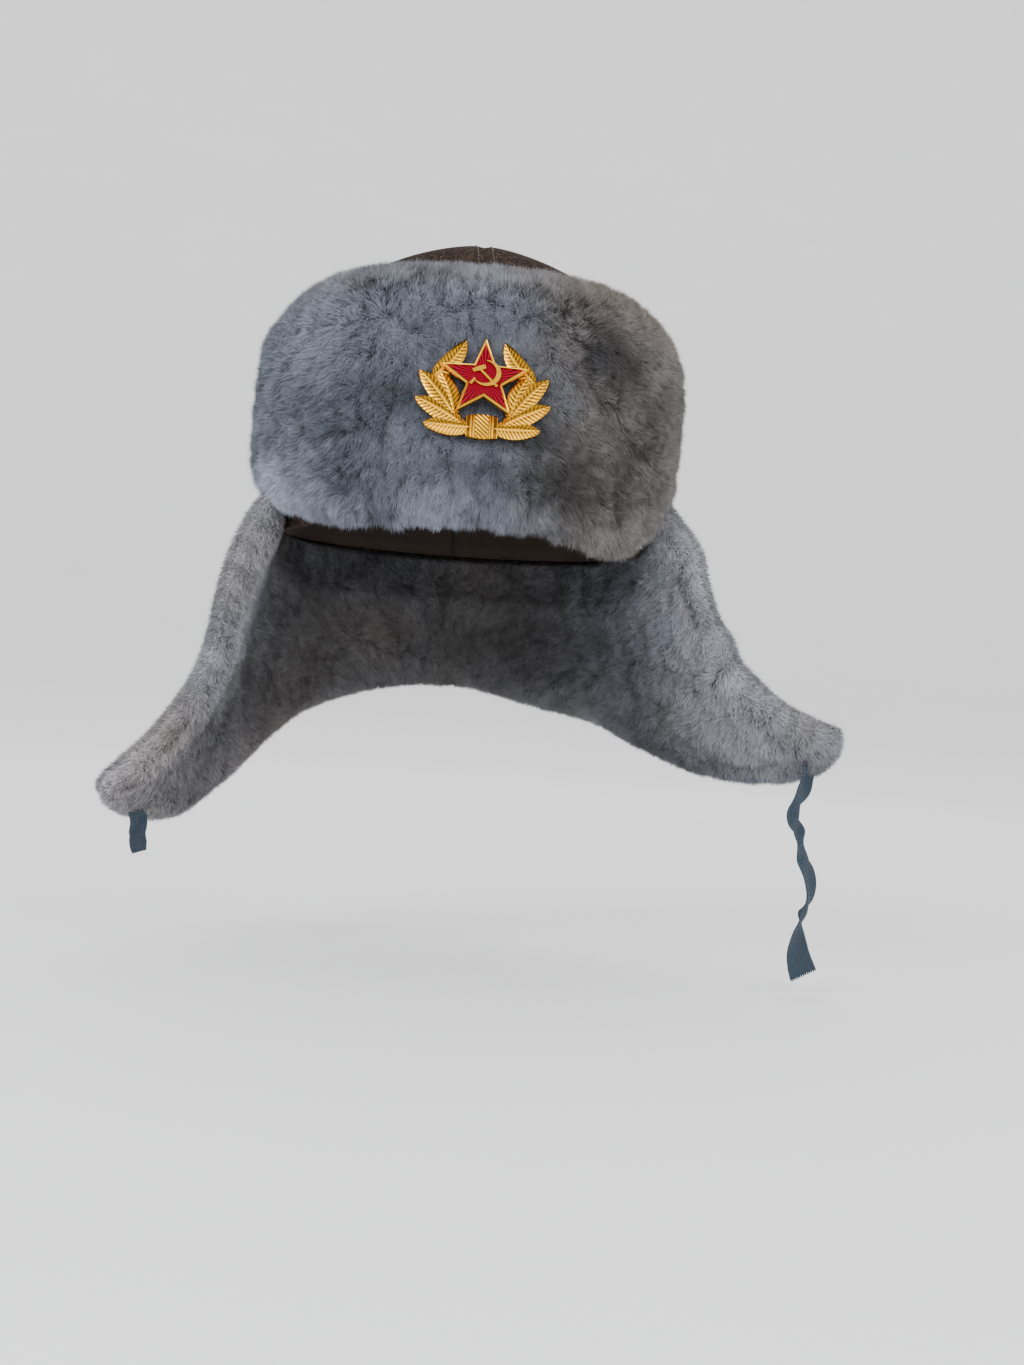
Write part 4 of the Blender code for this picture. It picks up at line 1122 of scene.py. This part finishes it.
# %% Gold and enamel
gold, tree, shader = principled("gilt_metal", Metallic=1.0, Roughness=0.30)
# The gilt is darkened in the hollows between the veins, beside the midribs, on the band and on the backs: painted
# shade.
hollow_shade = add(tree, "ShaderNodeAttribute", attribute_name="hollow_shade").outputs["Fac"]
place = add(tree, "ShaderNodeTexCoord").outputs["Object"]
tarnish = add(tree, "ShaderNodeTexNoise", Vector=place, Scale=260.0, Detail=4.0)
bright = mixed(tree, tarnish.outputs[0], (0.68, 0.32, 0.014, 1), (0.86, 0.47, 0.036, 1))
tree.links.new(mixed(tree, hollow_shade, bright, (0.13, 0.040, 0.003, 1)), shader.inputs["Base Color"])
rough = reckon(tree, "MULTIPLY_ADD", tarnish.outputs[0], 0.16)
rough.node.inputs[2].default_value = 0.16
tree.links.new(rough, shader.inputs["Roughness"])
fine = add(tree, "ShaderNodeTexNoise", Vector=place, Scale=1400.0, Detail=2.0)
lift = add(tree, "ShaderNodeBump", Strength=0.15, Distance=0.0001, Height=fine.outputs[0])
tree.links.new(lift.outputs[0], shader.inputs["Normal"])

enamel, tree, shader = principled("red_enamel", Roughness=0.35, Specular_IOR_Level=0.06)
ray = add(tree, "ShaderNodeAttribute", attribute_name="ray").outputs["Fac"]
red = mixed(tree, ray, (0.006, 0.0001, 0.0011, 1), (0.28, 0.0001, 0.0118, 1))
tree.links.new(red, shader.inputs["Base Color"])

# %% Leaves
HALF = WREATH_WIDTH / 2
BAND_RISE = 1.15
VEINS = 13
LEAVES = [  # start x y, tip x y, width and bow, as shares of the wreath's half width
    (-0.15, -0.765, -0.86, -0.735, 0.30, 0.00),
    (-0.30, -0.700, -1.00, -0.320, 0.31, 0.02),
    (-0.42, -0.560, -0.96, 0.130, 0.30, 0.03),
    (-0.76, 0.040, -0.28, 0.690, 0.28, 0.05),
    (-0.40, -0.620, -0.72, 0.260, 0.26, 0.05),
]


def leaf_grids(row, side, lift):
    """The top and the back of one leaf, in the cockade's frame, and how much painted shade each point gets."""
    start = np.array([row[0] * side * -1, row[1]]) * HALF
    tip = np.array([row[2] * side * -1, row[3]]) * HALF
    way = unit(tip - start)
    across = np.array([-way[1], way[0]]) * -side
    u = np.linspace(0.0, 0.995, 86)[:, None]
    a = np.linspace(-1, 1, 19)[None, :]
    middle = start + (tip - start) * u - across * (row[5] * HALF * np.sin(math.pi * u))
    wide = row[4] * HALF / 2 * np.sin(math.pi * u**0.84) ** 0.62 + 0.0001
    plane = middle[:, None, :] + across * (a * wide)[..., None]
    vein = 0.5 + 0.5 * np.cos(2 * math.pi * (u * VEINS - np.abs(a) * 1.5))
    rib = np.exp(-((a / 0.13) ** 2))
    dome = 0.62 + 0.38 * (1 - np.abs(a) ** 1.6)
    top = WREATH_THICKNESS * (1 - 0.12 * u) * dome
    top = top + 0.00020 * vein * (1 - rib) * (1 - np.abs(a) ** 6) + 0.00028 * rib + lift
    hollow_shade = np.clip((1 - vein) ** 1.5 * (1 - rib) * 0.95 + 0.5 * (np.exp(-(((np.abs(a) - 0.26) / 0.10) ** 2))), 0, 1)
    front = np.concatenate([plane, top[..., None]], axis=-1)
    back = np.concatenate([plane, 0 * top[..., None]], axis=-1)
    return front, back, hollow_shade


def join(pieces, name):
    """Several mesh objects as one."""
    shape = bmesh.new()
    for piece in pieces:
        shape.from_mesh(piece.data)
    mesh = bpy.data.meshes.new(name)
    shape.to_mesh(mesh)
    shape.free()
    mesh.shade_smooth()
    mesh.set_sharp_from_angle(angle=math.radians(55))
    mesh.materials.append(pieces[0].data.materials[0])
    for piece in pieces:
        bpy.data.objects.remove(piece, do_unlink=True)
    made = bpy.data.objects.new(name, mesh)
    hat.objects.link(made)
    return made


leaves = []
for side in (1, -1):
    for number, row in enumerate(LEAVES):
        front, back, hollow_shade = leaf_grids(row, side, -0.00006 * number)
        # The backs get painted shade too.
        values = {"hollow_shade": np.concatenate([hollow_shade.ravel(), 0.6 + 0 * hollow_shade.ravel()])}
        leaves.append(closed_sheet("leaf", from_badge(front), from_badge(back), gold, values))
print("leaves:", len(leaves))

# %% Band and wreath
BAND_WIDTH, BAND_LOW, BAND_HIGH, BAND_BULGE = 0.46, -0.91, -0.57, 0.08
x_share, y_share = np.meshgrid(np.linspace(-1, 1, 91), np.linspace(-1, 1, 45))
x = x_share * BAND_WIDTH * HALF / 2
middle, tall = (BAND_LOW + BAND_HIGH) / 2 * HALF, (BAND_HIGH - BAND_LOW) / 2 * HALF
y = middle + y_share * tall * (1 + 2 * BAND_BULGE * (1 - x_share**2))
ridges = np.exp(-(((np.abs(x) - 0.0034) / 0.00028) ** 2)) + np.exp(-(((np.abs(x) - 0.0046) / 0.00028) ** 2))
hatch = (0.5 + 0.5 * np.cos(2 * math.pi * (y_share * 2.8 + x / 0.0021))) * (np.abs(x) < 0.0029)
top = WREATH_THICKNESS * (BAND_RISE - 0.1 * x_share**2) * (1 - 0.25 * np.abs(y_share) ** 4)
top = top + 0.00035 * ridges + 0.00028 * hatch
front, back = np.stack([x, y, top], axis=-1), np.stack([x, y, 0 * top], axis=-1)
# The band is darkened everywhere but on its hatching's crests, its ridges and its ends: painted shade.
hollow_shade = np.clip(0.95 * (1 - hatch) ** 1.3 - ridges, 0, 1) * smooth(1.0, 0.94, np.abs(x_share))
values = {"hollow_shade": np.concatenate([hollow_shade.ravel(), 0.6 + 0 * hollow_shade.ravel()])}
band = closed_sheet("band", from_badge(front), from_badge(back), gold, values)
wreath = join(leaves + [band], "wreath")
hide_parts("badge_wreath")
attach(wreath, "root")
print("wreath:", len(wreath.data.polygons), "faces")

# %% Star, enamel
STAR_RADIUS, STAR_WAIST, STAR_THICKNESS = 0.0200, 0.41, 0.0026
STAR_RIM, STAR_RECESS, ENAMEL_THICKNESS, EMBLEM_THICKNESS = 0.0008, 0.0011, 0.0005, 0.0007
side_angle = math.atan2(STAR_WAIST * math.sin(math.pi / 5), 1 - STAR_WAIST * math.cos(math.pi / 5))
STAR_BASE = WREATH_THICKNESS * BAND_RISE + GAP
STAR_TOP = STAR_BASE + STAR_THICKNESS
STAR_FLOOR = STAR_TOP - STAR_RECESS


def star_loop(radius, height, fill):
    """A five-pointed star as a loop of points, with fill points on each of its ten sides."""
    corners = []
    for k in range(11):
        reach = radius * (STAR_WAIST if k % 2 else 1)
        corners.append((reach * math.sin(math.pi * k / 5), reach * math.cos(math.pi * k / 5), height))
    corners = np.array(corners)
    share = np.arange(fill)[:, None] / fill
    return np.concatenate([one + (two - one) * share for one, two in zip(corners, corners[1:])])


def lathe(name, loops, surface, values=None, close=True):
    """A surface through loops with as many points each, its first and last loop filled."""
    count = len(loops[0])
    faces = []
    for i in range(len(loops) - 1):
        for j in range(count):
            k = (j + 1) % count
            faces.append((i * count + j, i * count + k, (i + 1) * count + k, (i + 1) * count + j))
    faces.append(tuple(range(count)))
    faces.append(tuple(range((len(loops) - 1) * count, len(loops) * count)))
    return make_piece(name, from_badge(np.concatenate(loops)), faces, surface, values)


inner = STAR_RADIUS - STAR_RIM / math.sin(side_angle)
dish = lathe("star_dish", [
    star_loop(STAR_RADIUS, STAR_BASE, 1),
    star_loop(STAR_RADIUS, STAR_TOP - 0.0007, 1),
    star_loop(STAR_RADIUS - 0.0004 / math.sin(side_angle), STAR_TOP, 1),
    star_loop(inner + 0.0002, STAR_TOP - 0.0001, 1),
    star_loop(inner, STAR_TOP - 0.0006, 1),
    star_loop(inner, STAR_FLOOR, 1),
], gold)
dish.data.set_sharp_from_angle(angle=math.radians(25))
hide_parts("badge_star")

filling = inner - GAP / math.sin(side_angle)
enamel_top = STAR_FLOOR + GAP + ENAMEL_THICKNESS
loops, rays = [star_loop(filling, STAR_FLOOR + GAP, 30)], [np.full(300, 0.5)]
for share in np.linspace(1, 0.04, 16):
    loop = star_loop(filling * share, enamel_top, 30)
    angle = np.arctan2(loop[:, 0], loop[:, 1])
    ray = 0.5 + 0.5 * np.cos(50 * angle)
    loop[:, 2] += 0.00018 * (1 - share**2) + 0.00009 * ray * share
    loops.append(loop)
    rays.append(ray**0.7)
filling = lathe("star_enamel", loops, enamel, {"ray": np.concatenate(rays)})
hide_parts("badge_enamel")
for piece, finish in ((dish, "gilt_metal"), (filling, "red_enamel")):
    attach(piece, "root")
for node in ("badge_emblem", "badge_post"):
    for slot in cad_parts[node].material_slots:
        slot.material = gold
print("star:", round(STAR_RADIUS * 2000), "mm across")

# %% [markdown]
# ## Stitches
# The crown's seam allowances are held flat by a row of stitches on either side of the centre seam.
# A row is the same small thing again and again along a path, which is what Geometry Nodes are for:
# the path is a line of points laid on the cloth, the tree walks it at an even pitch, sets a short
# sunk bar of thread at each step, and turns it along the path and out of the cloth.

# %% Thread
thread, tree, shader = principled("thread", Roughness=0.8, Sheen_Weight=0.1)
place = add(tree, "ShaderNodeTexCoord").outputs["Object"]
ply = add(tree, "ShaderNodeTexNoise", Vector=place, Scale=1800.0, Detail=2.0)
tree.links.new(mixed(tree, ply.outputs[0], srgb(48, 39, 33), srgb(88, 74, 62)), shader.inputs["Base Color"])

# %% Stitch tree
def stitch_template():
    """A bar of thread one unit long, wide and high, its ends sunk into the cloth."""
    sections = [(-0.5, 0.25, -0.9), (-0.32, 0.8, 0.0), (0.0, 1.0, 0.3), (0.32, 0.8, 0.0), (0.5, 0.25, -0.9)]
    points = []
    for along_share, thick, rise in sections:
        for k in range(6):
            turn = 2 * math.pi * k / 6
            points.append((along_share, 0.5 * thick * math.cos(turn), rise + 0.5 * thick * math.sin(turn)))
    faces = [(i * 6 + k, i * 6 + (k + 1) % 6, (i + 1) * 6 + (k + 1) % 6, (i + 1) * 6 + k) for i in range(4) for k in range(6)]
    faces += [tuple(range(6)), tuple(range(24, 30))]
    made = make_piece("stitch_bar", points, faces, thread)
    made.hide_render = True
    return made


def stitch_tree():
    """Sets a stitch at every pitch along a line, turned along it and out of the cloth."""
    tree = bpy.data.node_groups.new("stitch_row", "GeometryNodeTree")
    named_input(tree, "Line", "NodeSocketGeometry")
    named_input(tree, "Stitch", "NodeSocketObject")
    named_input(tree, "Pitch", "NodeSocketFloat", 0.0035)
    named_input(tree, "Stitch length", "NodeSocketFloat", 0.0026)
    named_input(tree, "Thread", "NodeSocketFloat", 0.0005)
    tree.interface.new_socket("Stitches", in_out="OUTPUT", socket_type="NodeSocketGeometry")
    given = tree.nodes.new("NodeGroupInput").outputs
    result = tree.nodes.new("NodeGroupOutput")
    curve = add(tree, "GeometryNodeMeshToCurve", Mesh=given["Line"])
    even = add(tree, "GeometryNodeResampleCurve", Curve=curve.outputs[0])
    even.mode = "LENGTH"
    tree.links.new(given["Pitch"], even.inputs["Length"])
    turned = add(tree, "FunctionNodeAxesToRotation", primary_axis="X", secondary_axis="Z")
    tree.links.new(tree.nodes.new("GeometryNodeInputTangent").outputs[0], turned.inputs[0])
    facing = add(tree, "GeometryNodeInputNamedAttribute", data_type="FLOAT_VECTOR", Name="facing")
    tree.links.new(facing.outputs[0], turned.inputs[1])
    size = add(tree, "ShaderNodeCombineXYZ")
    tree.links.new(given["Stitch length"], size.inputs[0])
    tree.links.new(given["Thread"], size.inputs[1])
    tree.links.new(given["Thread"], size.inputs[2])
    bar = add(tree, "GeometryNodeObjectInfo", Object=given["Stitch"])
    placed = add(tree, "GeometryNodeInstanceOnPoints", Points=even.outputs[0])
    tree.links.new(bar.outputs["Geometry"], placed.inputs["Instance"])
    tree.links.new(turned.outputs[0], placed.inputs["Rotation"])
    tree.links.new(size.outputs[0], placed.inputs["Scale"])
    real = add(tree, "GeometryNodeRealizeInstances", Geometry=placed.outputs[0])
    painted = add(tree, "GeometryNodeSetMaterial", Geometry=real.outputs[0], Material=thread)
    tree.links.new(painted.outputs[0], result.inputs[0])
    return tree


stitch = stitch_template()
stitch_nodes = stitch_tree()


# %% Crown's stitch rows
SEAM_MARGIN = 0.0034


def stitch_row(name, cloth, places):
    """Stitches along places that are first laid on the cloth."""
    laid, facing = [], []
    for place in places:
        _, point, normal, _ = cloth.closest_point_on_mesh(Vector(place))
        laid.append(tuple(point))
        facing.append(tuple(normal))
    mesh = bpy.data.meshes.new(name)
    mesh.from_pydata(laid, [(k, k + 1) for k in range(len(laid) - 1)], [])
    mesh.attributes.new("facing", "FLOAT_VECTOR", "POINT").data.foreach_set("vector", np.array(facing, np.float32).ravel())
    line = bpy.data.objects.new(name + "_path", mesh)
    made = run_nodes(line, stitch_nodes, name, {"Stitch": stitch})
    made.data.shade_smooth()
    bpy.data.objects.remove(line, do_unlink=True)
    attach(made, "root")
    print(name + ":", len(made.data.polygons) // len(stitch.data.polygons), "stitches")
    return made


for side, half in zip((1, -1), crown):
    turn = np.linspace(0.16, math.pi - 0.03, 300)
    share, girth = np.sin(turn) ** (2 / CROWN_SQUARENESS), np.abs(np.cos(turn)) ** (2 * CROWN_ROUNDNESS)
    aside = SEAM_MARGIN / RIM_SIDE
    kept = girth > aside
    y = -RIM_FRONT * np.sqrt(np.clip(girth**2 - aside**2, 0, None)) * np.sign(np.cos(turn))
    row = np.stack([np.full(300, side * SEAM_MARGIN), y, CROWN_HEIGHT * share + 0.001], axis=1)[kept]
    stitch_row("stitches_left" if side > 0 else "stitches_right", half, row)

# %% Clean up and measure
bpy.data.objects.remove(stitch, do_unlink=True)
bpy.data.objects.remove(blade, do_unlink=True)
low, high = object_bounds()
shown = [piece for piece in hat.objects if piece.type == "MESH"]
triangles = {piece.name: sum(len(face.vertices) - 2 for face in piece.data.polygons) for piece in shown}
print("triangles:", sum(triangles.values()), triangles)
